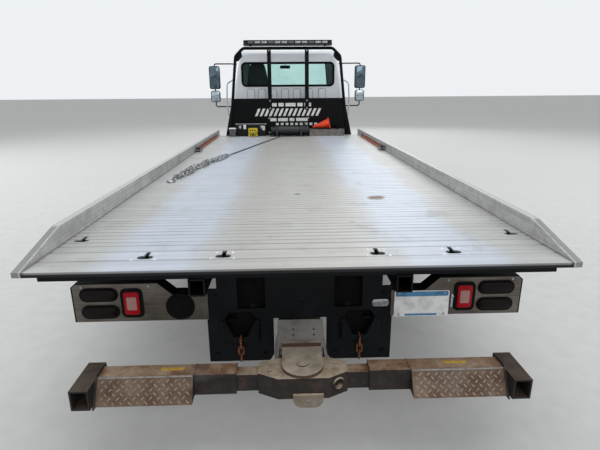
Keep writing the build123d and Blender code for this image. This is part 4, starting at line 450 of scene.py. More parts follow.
def strap_webbing():
    # Polyester ratchet webbing: faded red-orange, ribbed across, grubby on its folds. Its 4 mm ribs
    # are drawn 8 mm apart to show.
    made, where = material("strap_webbing")
    ribs = add(made, "TexWave", {"Vector": where, "Scale": per(26), "Distortion": 0.6},
               bands_direction="Y")
    grime = add(made, "TexNoise", {"Vector": where, "Scale": per(55), "Detail": 7, "Roughness": 0.7})
    dyed = add(made, "ValToRGB", {"Fac": grime},
               stops=((0.34, "5d4a40"), (0.5, "a06a50"), (0.66, "c89a7c")))
    shade = add(made, "MapRange", {"Value": ribs.outputs[1], "To Min": 0.78, "To Max": 1.0})
    tone = add(made, "VectorMath", {0: dyed, 1: shade}, operation="MULTIPLY")
    relief = add(made, "Bump", {"Height": ribs.outputs[1], "Strength": 0.5, "Distance": 0.001})
    return finished(made, add(made, "BsdfPrincipled", {
        "Base Color": tone, "Roughness": 0.9, "Normal": relief}))


RECIPES = {
    "black_paint": black_chassis_enamel, "cab_paint": cab_enamel, "deck": deck_aluminium,
    "rail": rail_aluminium, "stainless": brushed_stainless, "rusty_bar": rusted_bar_steel,
    "rope": wire_rope_steel, "boom": worn_boom_steel, "flap": flap_rubber, "dash": dashboard_plastic,
    "cloth": seat_cloth, "glass": tinted_glass, "clear_lens": clear_lens, "webbing": strap_webbing,
}
CLOUDED = {
    # Black powder coat of the headboard: even, nearly glossy, with rubbed spots and a faint orange
    # peel, drawn 4 mm wide to show.
    "headboard_black": dict(
        name="gloss_black_tube", size=90, detail=6, blend=0.6, stops=((0.45, "040506"), (0.8, "0e0f11")),
        gloss=(0.3, 0.55), grain=(4, 2), relief=(0.05, 0.0005), surface={"Specular IOR Level": 0.11}),
    # Polished aluminium of tanks, boxes and grab rails: mirror-like but hazed by swirls and road film.
    "bright_aluminium": dict(
        name="bright_aluminium", size=140, detail=7, blend=0.65,
        stops=((0.3, "a6a9ab"), (0.55, "bfc2c4"), (0.8, "cdd0d2")), gloss=(0.34, 0.16),
        surface={"Metallic": 0.95}),
    # Bare chain and small fittings with fresh orange rust over dark wire.
    "orange_rust": dict(
        name="orange_rust", size=22, detail=7, blend=0.7,
        stops=((0.32, "3a2417"), (0.5, "764425"), (0.7, "a5683a")), relief=(0.4, 0.0008),
        surface={"Roughness": 0.82}),
    # Zinc-plated alloy chain: grey wire, bright where links rub on each other, dark in the crooks.
    "chain": dict(
        name="dark_chain_steel", size=26, detail=5, blend=0.6,
        stops=((0.38, "3c4043"), (0.5, "8f9396"), (0.62, "dcdedf")),
        surface={"Metallic": 0.75, "Roughness": 0.42}),
    # Cast axle and gearbox iron under old grease and dust: near black, rough, damp in patches.
    "greasy_iron": dict(
        name="greasy_cast_iron", size=60, detail=8, blend=0.7,
        stops=((0.34, "0f0e0d"), (0.56, "231f1b"), (0.78, "3c352d")), gloss=(0.35, 0.85),
        relief=(0.5, 0.003), surface={"Metallic": 0.1}),
    # Chrome on the bumper, grille and cylinder rods: clear reflections under a thin dusty haze.
    "chrome": dict(
        name="chrome_plate", size=130, detail=6, stops=((0.35, "c6c9cc"), (0.7, "dcdfe2")),
        gloss=(0.12, 0.04), surface={"Metallic": 1.0}),
    # Tyre rubber: charcoal under a matt, grey-brown dust in clouds.
    "tyre": dict(
        name="tyre_rubber", size=120, detail=7, blend=0.65,
        stops=((0.35, "141414"), (0.6, "222120"), (0.82, "38342f")), grain=(3, 3), relief=(0.12, 0.0006),
        surface={"Roughness": 0.86}),
    # Moulded ABS and nylon: off-black with a soft sheen and a fine grain, drawn 2.5 mm wide to show.
    "plastic": dict(
        name="black_moulded_plastic", size=90, detail=5, stops=((0.35, "0b0c0d"), (0.8, "191a1c")),
        grain=(2.5, 2), relief=(0.1, 0.0004), surface={"Roughness": 0.5, "Specular IOR Level": 0.25}),
    # Silvered mirror glass, tinted blue-grey against glare, behind a film of dust.
    "mirror": dict(
        name="mirror_glass", size=60, detail=5, stops=((0.3, "4d5c66"), (0.8, "71828c")),
        gloss=(0.02, 0.16), surface={"Metallic": 1.0}),
    # The same on the small curved head, painted paler as a painted reflection of the sky that it gathers.
    "wide_mirror": dict(
        name="wide_angle_mirror_glass", size=60, detail=5, stops=((0.3, "9aa8b0"), (0.8, "c3cfd5")),
        gloss=(0.02, 0.16), surface={"Metallic": 1.0}),
}
LENSES = {
    # lens: dark, bright; deep red, lit red, grey-pink, amber and smoke-grey acrylic
    "red_lens": ("090203", "1d0507"), "bright_red_lens": ("7a040f", "c20a1e"),
    # pale_lens is partly painted shade: darkened for the tail lamps' place in shadow below the deck.
    "pale_lens": ("8f6a66", "c99a94"), "amber_lens": ("8a4a10", "e08a2a"),
    "smoked_lens": ("303437", "8f9599"),
}
SPECKLED = {
    # finish: material, dark, bright, size of its fading in mm, roughness, metallic, specular level
    # Aluminised sheet, browned by heat: dull silver with rusty clouds.
    "muffler": ("aluminised_steel", "4a3a2f", "8b8a88", 70, 0.55, 0.6),
    # Enamelled winch housings: deep black, a little dusty.
    "winch_paint": ("winch_black_enamel", "060708", "151719", 60, 0.5),
    # Grey enamel of the lift's sleeve, rubbed pale.
    "boom_paint": ("worn_grey_boom_enamel", "74736f", "a3a09b", 160, 0.5),
    # Painted shade at the edges of the pressings on the cab's back wall: soft grey lines.
    "painted_seam_shade": ("painted_seam_shadow", "6d7276", "a0a5a9", 60, 0.6),
    # Rolled tread marks rubbed by boots: bare and bright against the rust.
    "tread_steel": ("rubbed_tread_steel", "77716d", "aaa5a0", 25, 0.45, 0.4),
    # Flame-cut end plates: dark brown scale, matt.
    "end_steel": ("dark_end_plate_steel", "1d1a18", "37302b", 60, 0.6),
    # Extruded rubber seals: flat black that shows no highlight.
    "rubber_seal": ("rubber_seal", "030303", "0a0a0b", 40, 0.8, 0.0, 0.15),
    # Baked white enamel of the wheels: clean and half glossy.
    "wheel_white": ("wheel_white_enamel", "bcbab5", "dcdcda", 80, 0.35),
    # Zinc-plated bolts and latches: bright grey, finely mottled.
    "steel_zinc": ("zinc_plated_steel", "6f7275", "b5b8ba", 12, 0.35, 0.9),
    # Aluminium rivet heads, polished by wear.
    "deck_rivet": ("aluminium_rivet", "9fa3a7", "dadde0", 8, 0.3, 0.8),
    # Stuck-on white film: even and slightly glossy.
    "stripe_film": ("reflective_white_film", "b9bcbc", "eceeee", 30, 0.35),
    # White and blue film on pressed sheet: smooth, a little grubby.
    "plate_white": ("plate_white_film", "c8cbcb", "f1f3f3", 60, 0.35),
    "plate_blue": ("plate_blue_film", "2d5f86", "4d8bb8", 60, 0.35),
    # Printed paper label, scuffed: patchy yellow.
    "sticker_yellow": ("worn_yellow_sticker", "8f6f2c", "e3b94c", 14, 0.6),
    # Moulded polyethylene and soft PVC: bright, waxy colour with dirty patches.
    "control_yellow": ("yellow_polyethylene", "8f7d12", "dcc522", 25, 0.5),
    "cone_orange": ("orange_pvc", "b5300f", "ff4f20", 60, 0.45),
    # Moulded polypropylene bucket and lid: satin, scuffed.
    "bucket_grey": ("grey_polypropylene", "3b3d40", "66696d", 40, 0.5),
    "lid_white": ("white_polypropylene", "c4c7c8", "f2f3f3", 50, 0.4),
    # Woven red webbing seen edge on: dull and grubby.
    "strap_red": ("red_webbing", "5e1a1c", "a8383a", 20, 0.85),
    # Brushed-on grey paint of the gear tray: chalky and stained.
    "tray_grey": ("grey_painted_tray", "4f4c48", "7b7771", 60, 0.6),
}
FINISHES = {}


def finish(name):
    """The named material, made the first time it is asked for."""
    if name not in FINISHES:
        if name in CLOUDED:
            FINISHES[name] = clouded(**CLOUDED[name])
        elif name in LENSES:
            FINISHES[name] = lens(name, *LENSES[name])
        elif name in SPECKLED:
            FINISHES[name] = speckled(*SPECKLED[name])
        else:
            FINISHES[name] = RECIPES[name]()
    return FINISHES[name]


# Meshes, in metres

ACROSS, FORWARD, REARWARD = (1, 0, 0), (0, 1, 0), (0, -1, 0)
UP, DOWN = (0, 0, 1), (0, 0, -1)
MERGED = 0.00001  # vertices this close become one
NO_LENGTH = 0.00001  # an edge shorter than this along an axis doesn't run along it
ON_AXIS = 0.000001  # less than this from the middle is on it
SHARP = math.radians(35)  # edges that turn more stay crisp


def faces_of(verts):
    return {face for vertex in verts for face in vertex.link_faces}


def edges_of(verts):
    return {edge for vertex in verts for edge in vertex.link_edges}


def verts_in(geom):
    return [item for item in geom if isinstance(item, bmesh.types.BMVert)]


def painted(faces, index):
    for face in faces:
        face.material_index = index


def rounded(bm, geom, by, segments=2, affect="EDGES"):
    """Rounds some edges, or the corners of a flat face."""
    return bmesh.ops.bevel(bm, geom=list(geom), offset=by, offset_type="OFFSET", segments=segments,
                           profile=0.5, affect=affect, material=-1, clamp_overlap=True)


def pointing(axis):
    """The turn that takes Z to an axis."""
    return Vector(UP).rotation_difference(Vector(axis)).to_matrix()


def runs_along(edge, axis):
    """Whether a box's edge runs along axis 0, 1 or 2."""
    return abs(edge.verts[0].co[axis] - edge.verts[1].co[axis]) > NO_LENGTH


def cube(bm, low, high, index=0):
    """A sharp box between two opposite corners, whichever comes first."""
    low, high = [Vector([pick(pair) for pair in zip(low, high)]) for pick in (min, max)]
    made = bmesh.ops.create_cube(
        bm, size=1.0, matrix=Matrix.Translation((high + low) / 2) @ Matrix.Diagonal((*(high - low), 1.0)))
    painted(faces_of(made["verts"]), index)
    return made["verts"]


def block(bm, low, high, round_by=0.0, segments=2, index=0):
    """A box between two opposite corners with its edges rounded."""
    verts = cube(bm, low, high, index)
    if round_by:
        rounded(bm, edges_of(verts), round_by, segments)
    return verts


def disc(bm, centre, axis, radius, length, sides=24, round_by=0.0, index=0, top=None):
    """A round or many-sided bar centred on a point and pointing along an axis; top is its far radius."""
    made = bmesh.ops.create_cone(bm, cap_ends=True, cap_tris=False, segments=sides, radius1=radius,
        radius2=radius if top is None else top, depth=length,
        matrix=Matrix.Translation(centre) @ pointing(axis).to_4x4())
    faces = faces_of(made["verts"])
    painted(faces, index)
    if round_by:
        rounded(bm, {edge for face in faces if len(face.verts) == sides for edge in face.edges}, round_by)
    return made["verts"]


def full_turn(bm, geom, centre, axis, steps, index):
    before = set(bm.faces)
    bmesh.ops.spin(bm, geom=geom, cent=centre, axis=axis, angle=math.tau, steps=steps, use_merge=True)
    painted(set(bm.faces) - before, index)


def lathe(bm, profile, centre, axis, steps, index=0):
    """Turns (along, out) points a full turn about an axis through centre."""
    points = [Vector(centre) + pointing(axis) @ Vector((out, 0, along)) for along, out in profile]
    verts = [bm.verts.new(point) for point in points]
    edges = [bm.edges.new((a, b)) for a, b in zip(verts, verts[1:])]
    full_turn(bm, verts + edges, centre, axis, steps, index)


def prism(bm, points, offset, index=0, round_by=0.0):
    """A closed outline of 3D points pushed along an offset."""
    face = bm.faces.new([bm.verts.new(point) for point in points])
    face.material_index = index
    pushed = verts_in(bmesh.ops.extrude_face_region(bm, geom=[face])["geom"])
    bmesh.ops.translate(bm, verts=pushed, vec=Vector(offset))
    painted(faces_of(pushed), index)
    if round_by:
        rounded(bm, edges_of(pushed), round_by, 1)


def ring(bm, centre, axis, radius, wire, steps=32, sides=10, index=0):
    """A round bar bent to a closed ring about an axis."""
    seat = Matrix.Translation(centre) @ pointing(axis).to_4x4() @ Matrix.Translation((radius, 0, 0))
    made = bmesh.ops.create_circle(bm, segments=sides, radius=wire,
                                   matrix=seat @ Matrix.Rotation(math.pi / 2, 4, "X"))
    full_turn(bm, made["verts"] + list(edges_of(made["verts"])), centre, axis, steps, index)


def smooth_line(name, points, kind="NURBS", closed=False, rows=12):
    """A curve with no thickness: smooth through its control points, or straight runs where kind is POLY."""
    line = bpy.data.curves.new(name, "CURVE")
    line.dimensions = "3D"
    spline = line.splines.new(kind)
    spline.points.add(len(points) - 1)
    for point, place in zip(spline.points, points):
        point.co = (*place, 1.0)
    spline.use_cyclic_u = closed
    spline.order_u = 3
    spline.use_endpoint_u = not closed
    spline.resolution_u = rows
    return line


def meshed(line):
    """The mesh of a curve, which is then removed."""
    carrier = bpy.data.objects.new(line.name, line)
    mesh = bpy.data.meshes.new_from_object(carrier)
    bpy.data.objects.remove(carrier)
    bpy.data.curves.remove(line)
    return mesh


def thickened(line, radius, sides):
    line.bevel_depth = radius
    line.bevel_resolution = sides
    line.use_fill_caps = True
    return line


def pipe(bm, points, radius, index=0, closed=False, kind="NURBS", sides=3, rows=6):
    """A round bar along points."""
    mesh = meshed(thickened(smooth_line("bar", points, kind, closed, rows), radius, sides))
    for polygon in mesh.polygons:
        polygon.material_index = index
    bm.from_mesh(mesh)
    bpy.data.meshes.remove(mesh)


def bolt(bm, place, axis, radius):
    """A washer with a six-sided head on it."""
    out = Vector(axis).normalized()
    disc(bm, Vector(place) + out * radius * 0.1, out, radius * 1.45, radius * 0.2, 16)
    disc(bm, Vector(place) + out * radius * 0.55, out, radius, radius * 0.7, 6, radius * 0.12)


def moved(bm, before, matrix):
    """Moves every vertex that wasn't there before."""
    bmesh.ops.transform(bm, matrix=matrix, verts=[vertex for vertex in bm.verts if vertex not in before])


def rounded_bar(bm, low, high, corner, index):
    """A flat bar with round corners in plan."""
    edges = edges_of(cube(bm, low, high, index))
    rounded(bm, [edge for edge in edges if runs_along(edge, 2)], corner, 6)


def rounded_plate(bm, low, high, corner, index, round_by=0.0015):
    """A plate facing the rear with round corners and a small edge."""
    level = [edge for edge in edges_of(cube(bm, low, high, index)) if runs_along(edge, 1)]
    made = rounded(bm, level, corner, 5)
    if round_by:
        faces = {face for edge in level if edge.is_valid for face in edge.link_faces}
        caps = [face for face in faces | faces_of(made["verts"]) if len(face.verts) > 6]
        rounded(bm, {edge for face in caps for edge in face.edges}, round_by)


def oval(bm, centre, half_long, half_high, depth, index, round_by=0.0015):
    """A lamp with round ends, centred on a point and facing the rear."""
    before = set(bm.verts)
    sides = 32
    shaped = disc(bm, (0, 0, 0), REARWARD, half_high, depth, sides, 0.0, index)
    for direction in (-1, 1):
        bmesh.ops.translate(bm, verts=[vertex for vertex in shaped if vertex.co.x * direction > ON_AXIS],
                            vec=(direction * (half_long - half_high), 0, 0))
    if round_by:
        caps = [face for face in faces_of(shaped) if len(face.verts) == sides]
        rounded(bm, {edge for face in caps for edge in face.edges}, round_by)
    moved(bm, before, Matrix.Translation(centre))


def placed(name, data):
    """A new object of the scene, at the origin."""
    made = bpy.data.objects.new(name, data)
    bpy.context.scene.collection.objects.link(made)
    return made


def piece(name, bm, body, finishes, replaces=()):
    """Makes the bmesh an object that rides on a body, with its finishes in order of their index."""
    bmesh.ops.remove_doubles(bm, verts=bm.verts, dist=MERGED)
    bmesh.ops.recalc_face_normals(bm, faces=bm.faces)
    for face in bm.faces:
        face.smooth = True
    mesh = bpy.data.meshes.new(name)
    bm.to_mesh(mesh)
    bm.free()
    mesh.set_sharp_from_angle(angle=SHARP)
    for part_finish in finishes:
        mesh.materials.append(finish(part_finish))
    made = placed(name, mesh)
    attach(made, body)
    if replaces:
        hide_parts(*replaces)
    return made


# Camera, floor and lights

class TruckView(bpy.types.PropertyGroup):
    """Where the photographer stood"""
    place: FloatVectorProperty(
        name="Place", description="Camera's place", subtype="TRANSLATION", unit="LENGTH", size=3,
        default=(-0.066, -6.531, 1.767))
    turn: FloatProperty(
        name="Turn", description="Turn to the right of straight ahead", unit="ROTATION",
        default=math.radians(1.748))
    down: FloatProperty(
        name="Down", description="Tilt below the horizon", unit="ROTATION",
        default=math.radians(16.56))
    roll: FloatProperty(
        name="Roll", description="Roll about the line of sight", unit="ROTATION",
        default=math.radians(-0.432))
    lens: FloatProperty(
        name="Lens", description="Focal length on a sensor 36 mm wide", unit="CAMERA", default=27.11)


LAMPS = (
    # name, place, aimed at, width, length, watts
    ("overhead", (1.0, -1.0, 13.0), (0.0, 0.0, 0.8), 12.0, 14.0, 590.0),
    ("behind_camera", (4.0, -15.0, 7.0), (0.0, -3.0, 0.8), 8.0, 6.0, 280.0),
    ("left_side", (-13.0, 2.0, 6.0), (0.0, 0.0, 1.0), 10.0, 5.0, 560.0),
    ("right_side", (13.0, 1.0, 7.0), (0.0, 0.0, 1.0), 10.0, 5.0, 310.0),
    ("front_side", (3.0, 15.0, 6.0), (0.0, 3.0, 1.0), 9.0, 5.0, 280.0),
)


def pale_floor():
    # Plain studio floor sheet: matt and pale, with a soft mottle a hand's breadth across.
    made, where = material("pale_floor")
    mottle = add(made, "TexNoise", {"Vector": where, "Scale": per(120), "Detail": 4})
    tone = add(made, "ValToRGB", {"Fac": mottle}, stops=((0.3, "d2d3d3"), (0.7, "d9dada")))
    return finished(made, add(made, "BsdfPrincipled", {"Base Color": tone, "Roughness": 0.95}))


class TRUCK_OT_stage(bpy.types.Operator):
    """Sets the camera, the pale floor, the lamps and the light of the surroundings"""
    bl_idname = "truck.stage"
    bl_label = "Stage"

    def execute(self, context):
        view = context.scene.truck_view
        data = bpy.data.cameras.new("photo_view")
        data.sensor_width = 36.0
        data.lens = view.lens
        data.clip_end = 400.0
        camera = placed("photo_view", data)
        camera.matrix_world = (Matrix.Translation(view.place) @ Matrix.Rotation(-view.turn, 4, "Z")
            @ Matrix.Rotation(math.pi / 2 - view.down, 4, "X") @ Matrix.Rotation(view.roll, 4, "Z"))
        context.scene.camera = camera
        context.scene.view_settings.view_transform = "Standard"

        bm = bmesh.new()
        bmesh.ops.create_grid(bm, x_segments=1, y_segments=1, size=120.0)
        mesh = bpy.data.meshes.new("floor")
        bm.to_mesh(mesh)
        bm.free()
        mesh.materials.append(pale_floor())
        floor = placed("floor", mesh)

        for name, place, aim, width, length, watts in LAMPS:
            lamp = bpy.data.lights.new(name, "AREA")
            lamp.shape = "RECTANGLE"
            lamp.size = width
            lamp.size_y = length
            lamp.energy = watts
            placed(name, lamp).matrix_world = Matrix.Translation(place) @ (
                Vector(aim) - Vector(place)).to_track_quat("-Z", "Y").to_matrix().to_4x4()

        world = bpy.data.worlds.new("surroundings")
        world.use_nodes = True
        world.node_tree.nodes.clear()
        path = add(world, "LightPath")
        direct = add(world, "Math", {0: path.outputs["Is Camera Ray"],
                                     1: path.outputs["Is Transmission Ray"]}, operation="MAXIMUM")
        shown = add(world, "Math", {0: direct, 1: path.outputs["Is Glossy Ray"]}, operation="MAXIMUM")
        lighting = add(world, "Background", {"Strength": 0.66})
        backdrop = add(world, "Background", {"Color": linear("eef1f4")})
        mix = add(world, "MixShader", {0: shown, 1: lighting, 2: backdrop})
        add(world, "OutputWorld", {"Surface": mix})
        context.scene.world = world
        return {"FINISHED"}


# Winch rope and the chain on its end

ROPE_ROUTE = (
    (-0.12, 1.59, 1.0326), (-0.128, 1.5, 1.028), (-0.15, 1.4, 1.015), (-0.19, 1.27, 1.0076),
    (-0.24, 1.09, 1.0076), (-0.298, 0.9, 1.0076), (-0.35, 0.7, 1.0076), (-0.408, 0.5, 1.0076),
    (-0.455, 0.3, 1.0076), (-0.512, 0.1, 1.0076), (-0.556, -0.1, 1.0076), (-0.612, -0.3, 1.0076),
    (-0.662, -0.5, 1.0076), (-0.715, -0.69, 1.0076), (-0.76, -0.87, 1.0076),
)
LINK_WIDTH = 0.6  # of its length
LINK_OVERLAP = 0.001
FERRULE = ((-0.756, -0.845, 1.0115), (-0.768, -0.895, 1.012), (-0.776, -0.935, 1.013))
FERRULE_RADIUS = 0.0105
HOOK = (
    (0.07, 0.0, 0), (0.03, 0.004, 0), (-0.012, 0.03, 0), (-0.048, 0.014, 0), (-0.05, -0.022, 0),
    (-0.018, -0.036, 0), (0.008, -0.026, 0),
)
HOOK_WIRE = 0.0085
CHAIN_ROUTE = (
    (-0.775, -0.93, 1.0183), (-0.85, -1.25, 1.0183), (-0.96, -1.62, 1.0183),
    (-1.03, -2.05, 1.0183), (-1.085, -2.52, 1.0183),
)
STRANDS = (
    # name, sideways, share of the route it reaches, sway, whether a hook ends it
    ("chain_middle_strand", 0.0, 1.0, 0.004, True),
    ("chain_left_strand", -0.036, 0.93, 0.014, False),
    ("chain_right_strand", 0.035, 0.8, 0.016, True),
)


def followed(points):
    """Points along the smooth line of a route."""
    mesh = meshed(smooth_line("route", points))
    along = [vertex.co.copy() for vertex in mesh.vertices]
    bpy.data.meshes.remove(mesh)
    return along


def at_length(along, length):
    """Place and heading at a length along points."""
    for a, b in zip(along, along[1:]):
        run = (b - a).length
        if length <= run:
            return a.lerp(b, length / run), (b - a).normalized()
        length -= run
    return along[-1].copy(), (along[-1] - along[-2]).normalized()


def run_length(along):
    """Length of the run through some points."""
    return sum((b - a).length for a, b in zip(along, along[1:]))


def strand_path(sideways, reach, sway):
    """Points of one strand: it leaves the fitting, spreads to its side and wanders a little."""
    along = followed(CHAIN_ROUTE)
    total = run_length(along) * reach
    path = []
    gone = 0.0
    for a, b in zip(along, along[1:]):
        if gone > total:
            break
        across = Vector(((b - a).y, -(b - a).x, 0)).normalized()
        wander = sideways * min(1.0, gone / 0.14) + sway * math.sin(gone * 14.0) * min(1.0, gone / 0.3)
        path.append(a + across * wander)
        gone += (b - a).length
    return path


def link_template(length, width, wire):
    """One chain link lying flat with its long side along X."""
    bm = bmesh.new()
    half, side = length / 2 - wire / 2, width / 2 - wire / 2
    pipe(bm, [(half, 0, 0), (half, side, 0), (0, side, 0), (-half, side, 0), (-half, 0, 0),
              (-half, -side, 0), (0, -side, 0), (half, -side, 0)], wire / 2, closed=True, sides=1, rows=2)
    bmesh.ops.remove_doubles(bm, verts=bm.verts, dist=MERGED)
    mesh = bpy.data.meshes.new("link")
    bm.to_mesh(mesh)
    bm.free()
    return mesh


def lay_link(bm, template, place, heading, roll):
    """One link at a place, with its long side along the heading and rolled about it."""
    before = set(bm.verts)
    bm.from_mesh(template)
    turn = Vector(ACROSS).rotation_difference(heading).to_matrix().to_4x4()
    moved(bm, before, Matrix.Translation(place) @ turn @ Matrix.Rotation(roll, 4, "X"))


class TRUCK_OT_rope(bpy.types.Operator):
    """Lays the winch rope with the chain and its hooks on the deck"""
    bl_idname = "truck.rope"
    bl_label = "Winch rope and chain"

    def execute(self, context):
        bed = context.scene.truck_bed
        line = thickened(smooth_line("winch_rope_line", ROPE_ROUTE), bed.rope_diameter / 2, 3)
        line.materials.append(finish("rope"))
        rope = placed("winch_rope_line", line)
        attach(rope, "bed_body")
        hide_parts("winch_rope")

        bm = bmesh.new()
        pipe(bm, FERRULE, FERRULE_RADIUS)
        fitting = piece("rope_ferrule", bm, "bed_body", ["chain"], ["deck_chain"])
        run_length(followed(ROPE_ROUTE))

        link = link_template(bed.link_length, bed.link_length * LINK_WIDTH, bed.link_wire)
        pitch = bed.link_length - 2 * bed.link_wire - LINK_OVERLAP
        for name, sideways, reach, sway, hook in STRANDS:
            path = strand_path(sideways, reach, sway)
            bm = bmesh.new()
            count = round(run_length(path) / pitch)
            for step in range(count):
                spot, heading = at_length(path, (step + 0.5) / count * run_length(path))
                lay_link(bm, link, spot, heading, math.radians(90 if step % 2 else 12 * math.sin(step)))
            chain = piece(name, bm, "bed_body", ["chain"], ["deck_chain"])
            if hook:
                spot, heading = at_length(path, run_length(path))
                bm = bmesh.new()
                swing = Matrix.Translation((*spot.xy, 1.0095)) @ Matrix.Rotation(
                    math.atan2(-heading.y, -heading.x), 4, "Z") @ Matrix.Translation((-0.078, 0, 0))
                pipe(bm, [swing @ Vector(point) for point in HOOK], HOOK_WIRE)
                ring(bm, swing @ Vector((0.082, 0, 0)), UP, 0.015, 0.0065, 16, 8)
                piece(name + "_hook", bm, "bed_body", ["chain"],
                                   ["deck_chain"])
        bpy.data.meshes.remove(link)
        return {"FINISHED"}


# Finishes of the solids that stay as they are

NODE_FINISHES = (
    # node, finish
    ("frame_rails", "black_paint"), ("front_axle", "greasy_iron"), ("rear_axle", "greasy_iron"),
    ("driveline", "greasy_iron"), ("side_tanks", "bright_aluminium"), ("tool_boxes", "bright_aluminium"),
    ("exhaust", "muffler"), ("front_bumper", "chrome"), ("mud_flaps", "flap"),
    ("cab_shell", "cab_paint"), ("cab_glass", "glass"), ("grab_rails", "bright_aluminium"),
    ("tail_plate", "black_paint"), ("light_brackets", "stainless"), ("hood", "cab_paint"),
    ("grille", "chrome"), ("headlamps", "clear_lens"), ("tilt_frame", "black_paint"),
    ("tilt_barrels", "black_paint"), ("tilt_rods", "chrome"), ("deck_floor", "deck"),
    # bed_sills and bed_crossbeams are black as painted shade, for the shadow under the deck.
    ("side_rails", "rail"), ("bed_sills", "black_paint"), ("bed_crossbeams", "black_paint"),
    ("headboard", "headboard_black"), ("winch", "winch_paint"), ("boom_sleeve", "boom_paint"),
    ("boom_slide", "boom"), ("crossbar", "rusty_bar"),
)
SIDE_FINISHES = (
    # node without its side, finish
    ("door_", "cab_paint"), ("door_glass_", "glass"), ("mirrors_", "plastic"),
    ("knuckle_", "greasy_iron"), ("rim_front_", "wheel_white"), ("rims_rear_", "wheel_white"),
)


class TRUCK_OT_finishes(bpy.types.Operator):
    """Gives the solids that stay their finishes"""
    bl_idname = "truck.finishes"
    bl_label = "Finishes"

    def execute(self, context):
        pairs = list(NODE_FINISHES)
        pairs += [(node + side, name) for node, name in SIDE_FINISHES for side in ("left", "right")]
        for node, name in pairs:
            slots = NODES[node].material_slots
            if not slots:
                NODES[node].data.materials.append(finish(name))
            for slot in slots:
                slot.material = finish(name)
        return {"FINISHED"}


# Bed details

KEYHOLES = (
    # x, y
    (-0.753, -4.46), (-0.377, -4.46), (0.377, -4.46), (0.753, -4.46),
)


class TRUCK_OT_deck(bpy.types.Operator):
    """Adds the rivets round the keyholes and the fasteners along the side rails"""
    bl_idname = "truck.deck"
    bl_label = "Deck fasteners"

    def execute(self, context):
        radius = context.scene.truck_bed.rivet_radius
        bm = bmesh.new()
        for x, y in KEYHOLES:
            for dx, dy in ((-0.055, -0.03), (0.055, -0.03), (-0.04, 0.052), (0.04, 0.052)):
                disc(bm, (x + dx, y + dy, 1.0012), UP, radius, 0.0032, 12, 0.0, 0, radius * 0.5)
        for side in (-1, 1):
            for step in range(14):
                y = -4.05 + step * 0.41
                for z in (0.93, 0.965):
                    disc(bm, (side * 1.2925, y, z), (side, 0, 0), radius * 0.8, 0.004, 10, 0.0, 0,
                         radius * 0.5)
        piece("deck_rivets", bm, "bed_body", ["deck_rivet"])

        bm = bmesh.new()
        # Painted shade: a thin black sheet under each keyhole, so it shows dark instead of the floor.
        for x, y in KEYHOLES:
            block(bm, (x - 0.062, y - 0.045, 0.971), (x + 0.062, y + 0.085, 0.975), 0.001, 1)
        piece("keyhole_shade_sheets", bm, "bed_body", ["black_paint"])
        return {"FINISHED"}


WEBBING = 0.0022  # thickness of a strap


def ribbon(bm, points, up, width, index):
    """A flat strap along points, standing along up, with a real thickness."""
    lift = Vector(up).normalized() * width
    edge_verts = [bm.verts.new(points[0]), bm.verts.new(Vector(points[0]) + lift)]
    edge = bm.edges.new(edge_verts)
    faces = []
    for a, b in zip(points, points[1:]):
        out = bmesh.ops.extrude_edge_only(bm, edges=[edge])["geom"]
        verts = verts_in(out)
        bmesh.ops.translate(bm, verts=verts, vec=Vector(b) - Vector(a))
        faces += [item for item in out if isinstance(item, bmesh.types.BMFace)]
        edge = [item for item in out if isinstance(item, bmesh.types.BMEdge)
                and all(vertex in verts for vertex in item.verts)][0]
    solid = bmesh.ops.solidify(bm, geom=faces, thickness=WEBBING)["geom"]
    painted(faces + [item for item in solid if isinstance(item, bmesh.types.BMFace)], index)


GEAR_FINISHES = ["plastic", "steel_zinc", "plate_white", "control_yellow", "bucket_grey", "lid_white",
                 "tray_grey", "cone_orange", "webbing", "strap_red", "rubber_seal"]


def chest_and_bar(bm):
    """Ribbed plastic chest with latches and labels, and a steel bar on its lid."""
    block(bm, (-0.922, 1.626, 1.001), (-0.408, 1.726, 1.165), 0.008)
    block(bm, (-0.93, 1.62, 1.163), (-0.4, 1.73, 1.195), 0.007)
    for x in (-0.86, -0.48):
        block(bm, (x - 0.022, 1.612, 1.13), (x + 0.022, 1.624, 1.182), 0.004, index=1)
    for x in (-0.8, -0.7, -0.6, -0.52):
        block(bm, (x - 0.006, 1.618, 1.015), (x + 0.006, 1.627, 1.15), 0.002)
    pipe(bm, [(-0.935, 1.66, 1.2055), (-0.8, 1.66, 1.2065), (-0.6, 1.662, 1.2065),
              (-0.41, 1.66, 1.2055)], 0.0085, 1)
    for x in (-0.925, -0.412):
        disc(bm, (x, 1.66, 1.2055), ACROSS, 0.0118, 0.026, 12, 0.002, 1)
    for x, low, high in ((-0.8, 1.122, 1.198), (-0.47, 1.1, 1.175)):
        block(bm, (x, 1.613, low), (x + 0.045, 1.619, high), 0.002, index=2)


def control_box(bm):
    """Yellow box with a dark seam, buttons on its rear face and four feet."""
    block(bm, (-0.708, 1.482, 1.004), (-0.552, 1.608, 1.143), 0.012, 3, 3)
    block(bm, (-0.71, 1.48, 1.06), (-0.55, 1.61, 1.07), 0.002, 1)
    for dx, dz in ((-0.04, 0.11), (0.0, 0.11), (0.04, 0.11), (-0.04, 0.035), (0.04, 0.035)):
        disc(bm, (-0.63 + dx, 1.4815, 1.0 + dz), REARWARD, 0.0125, 0.006, 12, 0.0015)
    disc(bm, (-0.628, 1.482, 1.035), REARWARD, 0.02, 0.005, 16, 0.0015)
    for dx in (-0.055, 0.055):
        for y in (1.5, 1.59):
            disc(bm, (-0.63 + dx, y, 1.0025), UP, 0.012, 0.004, 12)


